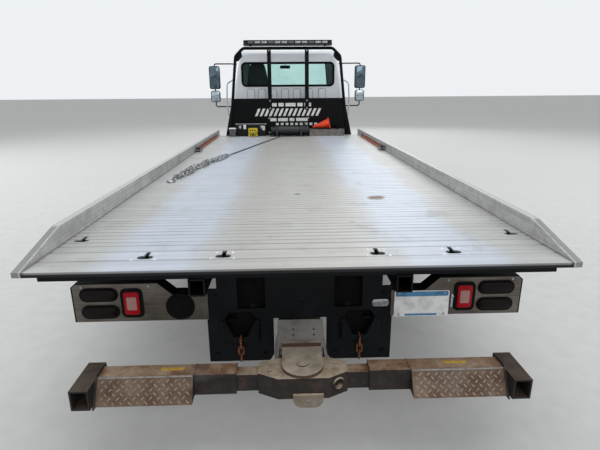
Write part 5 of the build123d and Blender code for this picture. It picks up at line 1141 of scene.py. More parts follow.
def bucket(bm):
    """Low tub with a rolled rim and its lid."""
    lathe(bm, [(0.0, 0.0), (0.0, 0.05), (0.004, 0.053), (0.118, 0.061), (0.121, 0.0645),
               (0.126, 0.0645), (0.128, 0.061), (0.132, 0.061), (0.132, 0.0)], (-0.99, 1.6, 1.001),
          UP, 32, 4)
    lathe(bm, [(0.13, 0.0), (0.13, 0.0648), (0.139, 0.0648), (0.143, 0.062), (0.146, 0.056),
               (0.1445, 0.052), (0.1445, 0.0)], (-0.99, 1.6, 1.001), UP, 32, 5)


def tray_with_cone(bm):
    """Open tray with a road cone lying across it and loose coils beside the cone."""
    made = cube(bm, (0.362, 1.51, 1.0), (0.97, 1.71, 1.114), 6)
    top = max(faces_of(made), key=lambda face: face.calc_center_median().z)
    bmesh.ops.inset_region(bm, faces=[top], thickness=0.008)
    floor = verts_in(bmesh.ops.extrude_face_region(bm, geom=[top])["geom"])
    bmesh.ops.translate(bm, verts=floor, vec=(0, 0, -0.106))
    bmesh.ops.delete(bm, geom=[top], context="FACES_ONLY")
    block(bm, (0.3621, 1.5095, 1.104), (0.9699, 1.5125, 1.1138), 0.001, 1, 6)

    lean = math.atan2(0.082 - 0.015, 0.29)
    axis = Matrix.Rotation(-math.pi / 2 - lean, 3, "Y") @ Vector(UP)
    middle = Vector((0.56, 1.62, 1.1805))
    lathe(bm, [(-0.144, 0.0), (-0.144, 0.08), (0.144, 0.015), (0.1445, 0.011), (0.14, 0.0105),
               (0.12, 0.0)], middle, axis, 40, 7)
    before = set(bm.verts)
    block(bm, (-0.094, -0.094, -0.157), (0.094, 0.094, -0.144), 0.005, 2, 7)
    moved(bm, before, Matrix.Translation(middle) @ Matrix.Rotation(-math.pi / 2 - lean, 4, "Y"))

    tilt = Matrix.Rotation(math.radians(78), 3, "X") @ Vector(UP)
    for radius, shift in ((0.066, -0.006), (0.072, 0.004), (0.078, -0.003), (0.0795, 0.005)):
        ring(bm, Vector((0.8, 1.66, 1.095)) + tilt * shift, tilt, radius, 0.0075, 36, 8, 10)


def side_strap(bm, side, rear_y, front_y):
    """Folded webbing against the side rail with its ratchet at the rear end."""
    inner = 1.253  # face of the rail
    count = 26
    folds = ((0.003, 1.002, 0.046), (0.013, 1.001, 0.042), (0.023, 1.001, 0.034))  # gap, foot, width
    for layer, (gap, low, high) in enumerate(folds):
        points = []
        for step in range(count + 1):
            share = step / count
            y = rear_y + (front_y - rear_y) * (0.02 * layer + share * (1 - 0.05 * layer))
            wave = 0.003 * math.sin(step * (1.1 + 0.4 * layer) + layer)
            points.append((side * (inner - gap - 0.003 - abs(wave)), y,
                           low + 0.002 * (1 + math.sin(step * 0.8))))
        ribbon(bm, points, UP, high, 8 if layer != 1 else 9)
    y = rear_y
    for x in (1.184, 1.244):
        block(bm, (side * x, y - 0.122, 1.004), (side * (x + 0.004), y + 0.01, 1.044), 0.0015, 1, 1)
    for dy, radius in ((-0.095, 0.007), (-0.045, 0.012), (-0.005, 0.007)):
        disc(bm, (side * 1.215, y + dy, 1.026), ACROSS, radius, 0.062, 14, 0.0, 1)
    block(bm, (side * 1.19, y - 0.118, 1.046), (side * 1.24, y - 0.03, 1.06), 0.005)
    for x in (1.188, 1.242):
        lathe(bm, [(0, 0.0), (0, 0.021), (0.003, 0.021), (0.003, 0.0)],
              (side * x - 0.0015, y - 0.045, 1.029), ACROSS, 16, 1)
    tail = ((1.215, -0.09, 1.05), (1.214, -0.04, 1.057), (1.213, 0.01, 1.047), (1.216, 0.06, 1.02),
            (1.22, 0.12, 1.006))
    ribbon(bm, [(side * x - 0.022, y + dy, z) for x, dy, z in tail], ACROSS, 0.044, 8)


class TRUCK_OT_gear(bpy.types.Operator):
    """Builds the stowed gear at the headboard and the straps along the side rails"""
    bl_idname = "truck.gear"
    bl_label = "Stowed gear"

    def execute(self, context):
        bm = bmesh.new()
        chest_and_bar(bm)
        control_box(bm)
        bucket(bm)
        for side, rear_y, front_y in ((-1, -0.4, 1.44), (1, -0.42, 1.35)):
            side_strap(bm, side, rear_y, front_y)
        piece("bed_gear", bm, "bed_body", GEAR_FINISHES, ["stowed_gear"])
        bm = bmesh.new()
        tray_with_cone(bm)
        piece("tray_and_cone", bm, "bed_body", GEAR_FINISHES, ["gear_tray"])
        return {"FINISHED"}


# Headboard, its stripes and the light bar

PANEL_FACE = 1.7636
FILM = 0.0008  # thickness of the stuck-on film
FILM_ROWS = (
    # foot, top, (start, width) of each block
    (1.5, 1.56, ((-0.36, 0.15), (-0.18, 0.095), (-0.055, 0.18), (0.155, 0.095), (0.28, 0.12))),
    (1.245, 1.3, ((-0.33, 0.11), (-0.19, 0.175), (0.015, 0.085), (0.13, 0.21))),
)


class TRUCK_OT_headboard(bpy.types.Operator):
    """Sticks the stripes on the headboard and builds the light bar over it"""
    bl_idname = "truck.headboard"
    bl_label = "Headboard and light bar"

    def execute(self, context):
        bm = bmesh.new()
        for step in range(14):
            start = -0.602 + step * 0.083
            prism(bm, [(start, PANEL_FACE, 1.335), (start + 0.045, PANEL_FACE, 1.335),
                       (start + 0.105, PANEL_FACE, 1.465), (start + 0.06, PANEL_FACE, 1.465)],
                  (0, -FILM, 0))
        for low, high, blocks in FILM_ROWS:
            for start, width in blocks:
                block(bm, (start, PANEL_FACE - FILM, low), (start + width, PANEL_FACE, high))
        for step in range(9):
            block(bm, (-0.23 + step * 0.086, PANEL_FACE - FILM, 1.175),
                  (-0.18 + step * 0.086, PANEL_FACE, 1.215))
        piece("headboard_stripes", bm, "bed_body", ["stripe_film"])

        bm = bmesh.new()
        for x in (-1.045, -0.35, 0.35, 1.045):
            for z in (1.05, 1.3) if abs(x) < 1 else (1.05,):
                bolt(bm, (x, 1.7639, z), REARWARD, 0.01)
        for x in (-0.326, 0.326):
            for z in (1.47, 1.6, 2.43):
                bolt(bm, (x, 1.7519, z), REARWARD, 0.009)
        for x in (-0.64, 0.64):
            bolt(bm, (x, 1.7399, 2.49), REARWARD, 0.008)
        piece("headboard_bolts", bm, "bed_body", ["steel_zinc"])

        bm = bmesh.new()
        light_bar(bm, context.scene.truck_bed.lamp_modules)
        piece("roof_light_bar", bm, "bed_body", ["plastic", "clear_lens", "smoked_lens"],
              ["light_bar"])
        return {"FINISHED"}


def light_bar(bm, modules):
    """Base, lens band and cover, with lenses along both faces and round both ends."""
    rounded_bar(bm, (-0.755, 1.625, 2.512), (0.755, 1.915, 2.53), 0.06, 0)
    rounded_bar(bm, (-0.735, 1.645, 2.529), (0.735, 1.895, 2.573), 0.05, 0)
    rounded_bar(bm, (-0.752, 1.628, 2.572), (0.752, 1.912, 2.5845), 0.058, 0)
    pitch = 1.36 / modules
    for step in range(modules):
        x = -0.68 + pitch * (step + 0.5)
        for rear, front in ((1.632, 1.65), (1.89, 1.908)):
            block(bm, (x - pitch * 0.42, rear, 2.533), (x + pitch * 0.42, front, 2.57), 0.004, 2,
                  1 if step % 3 else 2)
    for side in (-1, 1):
        for y in (1.7, 1.77, 1.84):
            block(bm, (side * 0.742 - 0.008, y - 0.028, 2.533), (side * 0.742 + 0.008, y + 0.028, 2.57),
                  0.004, 2, 2)


DRUM_Y, DRUM_Z, DRUM_RADIUS = 1.58, 1.1, 0.0605


class TRUCK_OT_winch(bpy.types.Operator):
    """Wraps the rope on the winch drum and bolts its housings"""
    bl_idname = "truck.winch"
    bl_label = "Winch"

    def execute(self, context):
        bm = bmesh.new()
        thick = context.scene.truck_bed.rope_diameter / 2
        count = int(0.36 / (thick * 2.05))
        for step in range(count):
            x = -0.18 + step * thick * 2.05
            ring(bm, (x, DRUM_Y, DRUM_Z), ACROSS, DRUM_RADIUS + thick, thick, 28, 6)
        for x, radius, out in ((0.3525, 0.036, 1), (-0.3105, 0.046, -1)):
            for step in range(6):
                angle = math.tau * step / 6
                place = (x, DRUM_Y + radius * math.cos(angle), DRUM_Z + radius * math.sin(angle))
                disc(bm, Vector(place), (out, 0, 0), 0.0055, 0.005, 6, 0.0, 1)
        for x in (-0.29, -0.1, 0.1, 0.29):
            disc(bm, (x, 1.5, 1.0145), UP, 0.009, 0.007, 6, 0.001, 1)
        pipe(bm, [(0.26, 1.545, 1.165), (0.262, 1.53, 1.195), (0.275, 1.505, 1.205)], 0.006, 1)
        disc(bm, (0.279, 1.5, 1.206), (0.8, -0.5, 0.2), 0.013, 0.026, 16, 0.004, 2)
        piece("winch_details", bm, "bed_body", ["rope", "steel_zinc", "plastic"])
        return {"FINISHED"}


# Tail lamps, plate and bolts

BRACKET_FACE = -4.2656
PLATE_FACE = -4.2602
ROUND_LAMP = (-0.655, 0.64)
CHAIN_SLOT = (0.333, -4.275, 0.4363)


class TRUCK_OT_tail_lamps(bpy.types.Operator):
    """Builds the tail lamps in their grommets, the blank plate and the bolts of the tail plate"""
    bl_idname = "truck.tail_lamps"
    bl_label = "Tail lamps and plate"

    def execute(self, context):
        bm = bmesh.new()
        for side in (-1, 1):
            for z in (0.717, 0.616):
                middle = side * 1.0875
                oval(bm, (middle, -4.2685, z), 0.1025, 0.04, 0.007, 0)
                oval(bm, (middle, -4.2735, z), 0.09, 0.03, 0.009, 1, 0.003)
                oval(bm, (middle, -4.2725, z), 0.096, 0.035, 0.003, 0, 0.001)
            x = side * 0.913
            rounded_plate(bm, (x - 0.06, -4.2715, 0.58), (x + 0.06, -4.265, 0.752), 0.03, 0)
            rounded_plate(bm, (x - 0.041, -4.2765, 0.6), (x + 0.041, -4.2715, 0.734), 0.014, 2, 0.003)
            rounded_plate(bm, (x - 0.026, -4.2775, 0.628), (x + 0.026, -4.2765, 0.704), 0.006, 3, 0.001)
        x, z = ROUND_LAMP
        disc(bm, (x, -4.269, z), REARWARD, 0.078, 0.008, 40, 0.002)
        disc(bm, (x, -4.2745, z), REARWARD, 0.064, 0.005, 40, 0.002)
        ring(bm, (x, -4.277, z), FORWARD, 0.05, 0.0018, 40, 8)
        piece("tail_lamp_set", bm, "chassis", ["rubber_seal", "red_lens", "bright_red_lens", "pale_lens"],
              ["tail_lamps"])

        bm = bmesh.new()
        rounded_plate(bm, (0.523, -4.269, 0.55), (0.829, -4.2672, 0.705), 0.01, 0, 0.0004)
        rounded_plate(bm, (0.529, -4.2698, 0.672), (0.823, -4.2688, 0.7), 0.008, 1, 0.0)
        block(bm, (0.585, -4.2697, 0.5545), (0.765, -4.2688, 0.566), 0.0, 1, 1)
        for x in (0.55, 0.802):
            for z in (0.563, 0.692):
                disc(bm, (x, -4.2705, z), REARWARD, 0.0055, 0.003, 10, 0.0, 2)
        block(bm, (0.8385, -4.276, 0.605), (0.8505, -4.2655, 0.685), 0.003, 2, 3)
        block(bm, (0.835, -4.278, 0.66), (0.852, -4.2655, 0.676), 0.003, 2, 2)
        piece("blank_plate", bm, "chassis", ["plate_white", "plate_blue", "steel_zinc", "clear_lens"])

        bm = bmesh.new()
        for side in (-1, 1):
            for x, z in ((1.176, 0.763), (0.818, 0.763)):
                disc(bm, (side * x, -4.2662, z), REARWARD, 0.006, 0.003, 12, 0.0008)
        piece("bracket_screws", bm, "chassis", ["steel_zinc"])

        bm = bmesh.new()
        top = [(0.517, 0.709), (0.69, 0.709), (0.77, 0.781), (1.208, 0.781), (1.2295, 0.7595)]
        for (x_a, z_a), (x_b, z_b) in zip(top, top[1:]):
            for side in (-1, 1):
                prism(bm, [(side * x, BRACKET_FACE, z + up) for x, z, up in (
                    (x_a, z_a, -0.003), (x_b, z_b, -0.003), (x_b, z_b, 0.003), (x_a, z_a, 0.003))],
                      (0, 0.087, 0))
        for side in (-1, 1):
            block(bm, (side * 1.2265, BRACKET_FACE, 0.556), (side * 1.2335, -4.179, 0.762), 0.0004, 1)
        piece("bracket_edging", bm, "chassis", ["rubber_seal"])

        bm = bmesh.new()
        radius = context.scene.truck_tail.bolt_radius
        for x, z in ((0.017, 0.641), (0.262, 0.637), (-0.262, 0.637), (-0.47, 0.69), (0.47, 0.69),
                     (-0.47, 0.33), (0.47, 0.33), (-0.2, 0.33), (0.2, 0.33)):
            bolt(bm, (x, PLATE_FACE, z), REARWARD, radius)
        # Painted shade: flat black sheets behind the tail plate's pockets, so they show dark instead of the
        # floor.
        for side in (-1, 1):
            block(bm, (side * 0.185, -4.209, 0.4), (side * 0.455, -4.206, 0.798), index=2)
        rounded_plate(bm, (0.402, -4.2625, 0.612), (0.494, PLATE_FACE, 0.655), 0.016, 1, 0.0006)
        piece("tail_plate_bolts_and_shade_sheets", bm, "chassis", ["black_paint", "steel_zinc", "rubber_seal"])

        bm = bmesh.new()
        bed = context.scene.truck_bed
        link = link_template(bed.link_length, bed.link_length * LINK_WIDTH, bed.link_wire)
        x, y, z = CHAIN_SLOT
        for side in (-1, 1):
            lay_link(bm, link, (side * x, y, z), Vector(FORWARD), math.radians(90))
            for step in range(3):
                lay_link(bm, link, (side * x, y - 0.0142, z - 0.0277 - step * 0.0392), Vector(DOWN),
                         math.radians(90 * (step % 2)) + (0.08 if side > 0 else -0.05))
        bpy.data.meshes.remove(link)
        piece("hanging_chains", bm, "chassis", ["orange_rust"], ["tail_chains"])
        return {"FINISHED"}


# Wheel lift

STEP_FOOT, STEP_HEAD = (0, -4.742, 0.372), (0, -4.672, 0.482)
STEP_INNER_END, STEP_WIDTH = 0.532, 0.43
LID_FOOT, LID_RUN = (0, -4.43, 0.47), (0, 0.168, 0.071)


class TRUCK_OT_wheel_lift(bpy.types.Operator):
    """Adds the tread marks of the step plates, the stickers, bolts and pins of the wheel lift"""
    bl_idname = "truck.wheel_lift"
    bl_label = "Wheel lift"

    def execute(self, context):
        tail = context.scene.truck_tail
        foot, head = Vector(STEP_FOOT), Vector(STEP_HEAD)
        slope = (head - foot).normalized()
        normal = Vector((0, -slope.z, slope.y))
        seat = Matrix((Vector(ACROSS), slope, normal)).transposed().to_4x4()
        bm = bmesh.new()
        gap = tail.tread_pitch / math.sqrt(2)
        rows = int((head - foot).length / gap - 0.5)
        columns = int(STEP_WIDTH / gap)
        mark = bmesh.new()
        made = bmesh.ops.create_cone(mark, cap_ends=True, segments=6, radius1=1.0, radius2=0.55, depth=1.0)
        bmesh.ops.scale(mark, verts=made["verts"], vec=(tail.tread_pitch * 0.44, 0.0034, tail.tread_height))
        template = bpy.data.meshes.new("mark")
        mark.to_mesh(template)
        mark.free()
        for side in (-1, 1):
            for row in range(rows):
                for column in range(row % 2, columns, 2):
                    x = side * (STEP_INNER_END + (column + 0.5) * gap)
                    along = foot + slope * ((row + 0.7) * gap)
                    turn = Matrix.Rotation(math.radians(45 if row % 2 else -45), 4, "Z")
                    before = set(bm.verts)
                    bm.from_mesh(template)
                    moved(bm, before, Matrix.Translation((x, along.y, along.z)) @ seat
                          @ Matrix.Translation((0, 0, tail.tread_height * 0.4)) @ turn)
        bpy.data.meshes.remove(template)
        for side in (-1, 1):
            block(bm, (side * 0.524, head.y - 0.006, head.z - 0.005),
                  (side * 0.964, head.y + 0.002, head.z + 0.0025), 0.001, 1)
            low = min(side * 0.9655, side * 0.9735)
            prism(bm, [(low, y, z) for y, z in (
                (-4.757, 0.364), (-4.676, 0.492), (-4.668, 0.497), (-4.59, 0.497), (-4.582, 0.49),
                (-4.582, 0.364))], (0.008, 0, 0), 1, 0.001)
        piece("step_tread", bm, "crossbar_body", ["tread_steel", "end_steel"])

        bm = bmesh.new()
        for x_a, x_b in ((-0.682, -0.57), (0.69, 0.805)):
            block(bm, (x_a, -4.628, 0.4819), (x_b, -4.606, 0.4826))
        for side in (-1, 1):
            block(bm, (side * 0.4, -4.66, 0.482), (side * 0.402, -4.6, 0.4826))
        piece("sleeve_stickers", bm, "crossbar_body", ["sticker_yellow"])

        bm = bmesh.new()
        for side in (-1, 1):
            for x in (0.3215, 0.5165):
                pipe(bm, [(side * x, y, z) for y, z in (
                    (-4.6712, 0.374), (-4.6712, 0.43), (-4.6712, 0.481), (-4.67, 0.4832),
                    (-4.63, 0.4832), (-4.58, 0.4832))], 0.003, kind="POLY", sides=1)
        for y in (-4.65, -4.6):
            for x in (-0.16, 0.16):
                disc(bm, (x, y, 0.483), UP, 0.012, 0.004, 6, 0.001)
        piece("crossbar_welds", bm, "crossbar_body", ["rusty_bar"])

        bm = bmesh.new()
        disc(bm, (0, -4.625, 0.5025), UP, 0.03, 0.005, 32, 0.001)
        ring(bm, (0.0, -4.625, 0.5055), UP, 0.017, 0.002, 28, 8)
        piece("swivel_cap", bm, "boom_slide_body", ["boom"])

        bm = bmesh.new()
        run = Vector(LID_RUN).normalized()
        normal = Vector((0, -run.z, run.y))
        for x in (-0.04, 0.072):
            for share in (0.42, 0.62):
                place = Vector(LID_FOOT) + Vector((x, 0, 0)) + Vector(LID_RUN) * share + normal * 0.0012
                disc(bm, place, normal, 0.0065, 0.003, 12, 0.0008)
        piece("lid_screws", bm, "boom_body", ["steel_zinc"])
        return {"FINISHED"}


# Cab

def window_rim(bm, low, high, corner, width, depth, index=0):
    """A rubber rim facing the rear round an opening; low and high are its outer corners."""
    size, middle = Vector(high) - Vector(low), (Vector(high) + Vector(low)) / 2
    place = Matrix.Translation(middle) @ Matrix.Rotation(math.pi / 2, 4, "X") @ Matrix.Diagonal(
        (size.x, size.z, 1.0, 1.0))
    made = bmesh.ops.create_grid(bm, x_segments=1, y_segments=1, size=0.5, matrix=place)
    before = set(bm.faces) - faces_of(made["verts"])
    rounded(bm, made["verts"], corner, 6, "VERTICES")
    pane = [face for face in bm.faces if face not in before]
    known = set(bm.faces)
    bmesh.ops.inset_region(bm, faces=pane, thickness=width, use_boundary=True)
    rim = [face for face in bm.faces if face not in known]
    bmesh.ops.delete(bm, geom=pane, context="FACES_ONLY")
    out = verts_in(bmesh.ops.extrude_face_region(bm, geom=rim)["geom"])
    bmesh.ops.translate(bm, verts=out, vec=(0, -depth, 0))
    painted(set(bm.faces) - before, index)


def rounded_corners(corners, cut):
    """Control points of a closed smooth line that turns round each corner within the cut."""
    points = []
    for before, corner, after in zip(corners[-1:] + corners[:-1], corners, corners[1:] + corners[:1]):
        corner = Vector(corner)
        points += [corner + (Vector(before) - corner).normalized() * cut, corner,
                   corner + (Vector(after) - corner).normalized() * cut]
    return points


BELT_HALF, BELT_Z = 1.03, 1.7
ROOF_HALF, ROOF_Z = 0.88, 2.455
SEAM_FACE = 2.0808


def wall_at(z):
    """Half of the cab's width over its sides at a height above the belt."""
    return BELT_HALF - (BELT_HALF - ROOF_HALF) * (z - BELT_Z) / (ROOF_Z - BELT_Z)


class TRUCK_OT_cab(bpy.types.Operator):
    """Adds the window rubbers, lamps, wipers, handles, mirror and seats of the cab"""
    bl_idname = "truck.cab"
    bl_label = "Cab"

    def execute(self, context):
        bm = bmesh.new()
        window_rim(bm, (-0.843, 2.0895, 1.838), (0.843, 2.0895, 2.264), 0.085, 0.036, 0.008)
        piece("rear_window_rubber", bm, "chassis", ["rubber_seal"])
        bm = bmesh.new()
        pipe(bm, rounded_corners([(-0.85, 3.406, 1.69), (0.85, 3.406, 1.69), (0.76, 2.989, 2.29),
                                  (-0.76, 2.989, 2.29)], 0.06), 0.017, closed=True, sides=1, rows=3)
        piece("windscreen_rubber", bm, "chassis", ["rubber_seal"])

        bm = bmesh.new()
        # Soft grey lines round the pressings below the rear window: painted shade at their edges.
        for x in (-0.677, -0.477, -0.277, -0.058, 0.161, 0.381, 0.619):
            pipe(bm, [(x + dx, SEAM_FACE, z) for dx, z in (
                (-0.066, 1.2), (-0.066, 1.783), (-0.06, 1.797), (-0.048, 1.802), (0.048, 1.802),
                (0.06, 1.797), (0.066, 1.783), (0.066, 1.2))], 0.0035, kind="POLY", sides=1)
        piece("back_wall_painted_seam_shade", bm, "chassis", ["painted_seam_shade"])

        bm = bmesh.new()
        arm = ((0.0, 3.456, 1.654), (0.14, 3.438, 1.688), (0.29, 3.418, 1.706))
        blade = ((0.02, 3.42, 1.69), (0.29, 3.412, 1.702), (0.57, 3.4, 1.716))
        for x in (-0.64, 0.08):
            for run, radius in ((arm, 0.007), (blade, 0.006)):
                pipe(bm, [(x + dx, y, z) for dx, y, z in run], radius)
            disc(bm, (x, 3.456, 1.654), (0, 0.82, 0.57), 0.018, 0.02, 16, 0.003)
        piece("wipers", bm, "chassis", ["plastic"])

        bm = bmesh.new()
        for x in (-0.6, -0.2, 0.0, 0.2, 0.6):
            rounded_bar(bm, (x - 0.045, 2.78, 2.4545), (x + 0.045, 2.83, 2.461), 0.012, 1)
            rounded_bar(bm, (x - 0.038, 2.786, 2.4605), (x + 0.038, 2.826, 2.486), 0.014, 0)
        piece("roof_marker_lamps", bm, "chassis", ["amber_lens", "plastic"])

        bm = bmesh.new()
        block(bm, (-0.15, 3.0, 2.19), (0.05, 3.022, 2.25), 0.01, 3)
        pipe(bm, [(-0.05, 3.02, 2.235), (-0.05, 3.045, 2.26), (-0.05, 3.06, 2.275)], 0.008)
        piece("inside_mirror", bm, "chassis", ["plastic"])

        for side, name in ((-1, "left"), (1, "right")):
            bm = bmesh.new()
            block(bm, (side * 1.0305, 2.4, 1.52), (side * 1.036, 2.56, 1.585), 0.003)
            pipe(bm, [(side * x, y, z) for x, y, z in (
                (1.034, 2.42, 1.56), (1.056, 2.44, 1.562), (1.058, 2.48, 1.562),
                (1.056, 2.52, 1.562), (1.034, 2.54, 1.56))], 0.009)
            disc(bm, (side * 1.038, 2.44, 1.495), (side, 0, 0), 0.014, 0.012, 16, 0.003, 1)
            piece("door_handle_" + name, bm, "door_" + name + "_body", ["plastic", "steel_zinc"])

            bm = bmesh.new()
            pipe(bm, rounded_corners([(side * wall_at(z), y, z) for y, z in (
                (2.38, 1.72), (3.21, 1.72), (2.79, 2.23), (2.38, 2.23))], 0.04), 0.009,
                closed=True, sides=1, rows=3)
            piece("door_window_rubber_" + name, bm, "door_" + name + "_body", ["rubber_seal"])

            bm = bmesh.new()
            x = side * 1.47
            rounded_plate(bm, (x - 0.092, 3.0665, 1.82), (x + 0.092, 3.0705, 2.238), 0.028, 0, 0.001)
            rounded_plate(bm, (x - 0.08, 3.0715, 1.565), (x + 0.08, 3.0755, 1.765), 0.036, 1, 0.001)
            piece("mirror_glass_" + name, bm, "door_" + name + "_body", ["mirror", "wide_mirror"])

        interior()
        return {"FINISHED"}


def cushion(bm, low, high, swell, seamed):
    """A padded form: its two faces across the seamed axis are stitched round and swell."""
    size, middle = Vector(high) - Vector(low), (Vector(high) + Vector(low)) / 2
    bmesh.ops.subdivide_edges(bm, edges=list(edges_of(cube(bm, low, high))), cuts=4, use_grid_fill=True)
    bm.normal_update()
    panels = [face for face in bm.faces if abs(face.normal[seamed]) > 0.9]
    bmesh.ops.inset_region(bm, faces=panels, thickness=0.01, depth=-0.007, use_even_offset=True)
    bmesh.ops.inset_region(bm, faces=panels, thickness=0.01, depth=0.007, use_even_offset=True)
    for panel_side in (-1, 1):
        faces = {face for face in panels if face.calc_center_median()[seamed] * panel_side
                 > middle[seamed] * panel_side}
        for share in (0.6, 0.4):
            inner = [vertex for vertex in {v for face in faces for v in face.verts}
                     if all(face in faces for face in vertex.link_faces)]
            out = [0.0, 0.0, 0.0]
            out[seamed] = panel_side * swell * share
            bmesh.ops.translate(bm, verts=inner, vec=out)
            faces = {face for face in faces if all(vertex in inner for vertex in face.verts)}
    waist = [vertex for vertex in bm.verts if abs(vertex.co[seamed] - middle[seamed]) < size[seamed] * 0.2]
    pull = [0.985, 0.985, 0.985]
    pull[seamed] = 1.0
    bmesh.ops.scale(bm, verts=waist, vec=pull, space=Matrix.Translation(-middle))


def interior():
    """Seats, dashboard, steering wheel and their column in place of the plain solids."""
    bm = bmesh.new()
    prism(bm, [(-0.955, y, z) for y, z in (
        (3.395, 1.2), (3.395, 1.575), (3.2, 1.598), (3.03, 1.5), (3.002, 1.35), (3.15, 1.2))],
          (1.91, 0, 0), 0, 0.012)
    block(bm, (-0.68, 3.12, 1.585), (-0.28, 3.24, 1.64), 0.02, 3)
    lean = Matrix.Translation((-0.48, 2.86, 1.48)) @ Matrix.Rotation(math.radians(40), 4, "X")
    axis = (lean.to_3x3() @ Vector(UP)).normalized()
    hub = lean.translation
    ring(bm, hub, axis, 0.208, 0.0155, 48, 12, 1)
    disc(bm, hub, axis, 0.07, 0.03, 24, 0.008, 1)
    for angle in (0, 180, 270):
        before = set(bm.verts)
        block(bm, (0.05, -0.022, -0.008), (0.2, 0.022, 0.008), 0.005, 2, 1)
        moved(bm, before, lean @ Matrix.Rotation(math.radians(angle), 4, "Z"))
    disc(bm, hub - axis * 0.16, axis, 0.03, 0.27, 20, 0.004, 1)
    piece("dashboard_and_wheel", bm, "chassis", ["dash", "plastic"], ["cab_interior"])

    for name, x, half, back in (("driver", -0.568, 0.228, 0.99), ("passenger", 0.47, 0.3, 0.56)):
        bm = bmesh.new()
        block(bm, (x - 0.18, 2.55, 0.897), (x + 0.18, 2.85, 1.115), 0.02)
        block(bm, (x - 0.2, 2.5, 1.09), (x + 0.2, 2.9, 1.125), 0.008, 1)
        piece(name + "_seat_base", bm, "chassis", ["plastic"])
        for part in ("cushion", "back"):
            bm = bmesh.new()
            if part == "cushion":
                cushion(bm, (-half, 2.47, 1.12), (half, 2.945, 1.262), 0.018, 2)
            else:
                cushion(bm, (-half, -0.058, 0.0), (half, 0.058, back), 0.014, 1)
                for low, narrow in ((0.58, 0.9), (0.74, 0.86), (0.88, 0.8)):
                    bmesh.ops.scale(bm, verts=[vertex for vertex in bm.verts if vertex.co.z > low],
                                    vec=(narrow, 0.94, 1.0))
                bmesh.ops.transform(bm, verts=bm.verts, matrix=Matrix.Translation((0, 2.49, 1.262))
                                    @ Matrix.Rotation(math.radians(6), 4, "X"))
            bmesh.ops.translate(bm, verts=bm.verts, vec=(x, 0, 0))
            pad = piece(name + "_seat_" + part, bm, "chassis", ["cloth"], ["cab_interior"])
            rounding = pad.modifiers.new("rounding", "SUBSURF")
            rounding.levels = 2
            rounding.render_levels = 2


# Hood and front

LAMP_PROFILE = (
    # forward of the lamp's seat, radius
    (-0.0008, 0.0), (-0.0008, 0.054), (0.0012, 0.054), (0.003, 0.04), (0.004, 0.02), (0.0044, 0.0),
)


class TRUCK_OT_front(bpy.types.Operator):
    """Adds the lamp bowls, latches, signal lamps and bumper bolts at the front"""
    bl_idname = "truck.front"
    bl_label = "Hood and front"

    def execute(self, context):
        bm = bmesh.new()
        for side in (-1, 1):
            for x in (0.795, 0.955):
                ring(bm, (side * x, 4.6812, 0.857), FORWARD, 0.058, 0.004, 36, 8)
                lathe(bm, LAMP_PROFILE, (side * x, 4.68, 0.857), FORWARD, 36, 1)
            block(bm, (side * 1.052, 4.64, 0.79), (side * 1.09, 4.666, 0.925), 0.01, 2, 2)
            window_rim(bm, (side * 0.88 - 0.172, 4.6785, 0.768), (side * 0.88 + 0.172, 4.6785, 0.947),
                       0.022, 0.014, -0.006, 3)
        piece("headlamp_bowls", bm, "hood_body", ["chrome", "clear_lens", "amber_lens", "plastic"])

        bm = bmesh.new()
        for side in (-1, 1):
            block(bm, (side * 0.8605, 3.5, 1.27), (side * 0.868, 3.545, 1.34), 0.002, 1)
            block(bm, (side * 0.8605, 3.505, 1.215), (side * 0.868, 3.54, 1.285), 0.003, 2, 1)
        piece("hood_latches", bm, "hood_body", ["steel_zinc", "rubber_seal"])

        bm = bmesh.new()
        for x in (-0.9, -0.5, 0.5, 0.9):
            for z in (0.51, 0.65):
                disc(bm, (x, 4.7705, z), FORWARD, 0.013, 0.006, 20, 0.002)
        piece("bumper_bolts", bm, "chassis", ["chrome"])

        bm = bmesh.new()
        rounded_plate(bm, (-0.155, 4.768, 0.49), (0.155, 4.7695, 0.645), 0.01, 0, 0.0)
        piece("front_blank_plate", bm, "chassis", ["plate_white"])
        return {"FINISHED"}


# Wheels

TYRE_PROFILE = (
    # along the axle from the tyre's middle, radius
    (-0.095, 0.248), (-0.108, 0.25), (-0.113, 0.262), (-0.12, 0.29), (-0.1262, 0.325),
    (-0.1272, 0.345), (-0.124, 0.37), (-0.118, 0.395), (-0.108, 0.412), (-0.102, 0.418),
    (-0.098, 0.4225), (-0.064, 0.4245), (-0.062, 0.414), (-0.056, 0.414), (-0.054, 0.425),
    (-0.02, 0.4258), (-0.018, 0.415), (-0.01, 0.415), (-0.008, 0.4259), (0.008, 0.4259),
    (0.01, 0.415), (0.018, 0.415), (0.02, 0.4258), (0.054, 0.425), (0.056, 0.414),
    (0.062, 0.414), (0.064, 0.4245), (0.098, 0.4225), (0.102, 0.418), (0.108, 0.412),
    (0.118, 0.395), (0.124, 0.37), (0.1272, 0.345), (0.1262, 0.325), (0.12, 0.29),
    (0.113, 0.262), (0.108, 0.25), (0.095, 0.248), (0.085, 0.253), (0.0, 0.253),
    (-0.085, 0.253), (-0.095, 0.248),
)


AXLE_Z = 0.426
FRONT_AXLE_Y, REAR_AXLE_Y = 3.75, -1.43
CROWN = 0.4175  # radius past which the tread lies
SHOULDER, RIB = (0.064, 0.1), (0.022, 0.052)  # where its notches lie along the axle


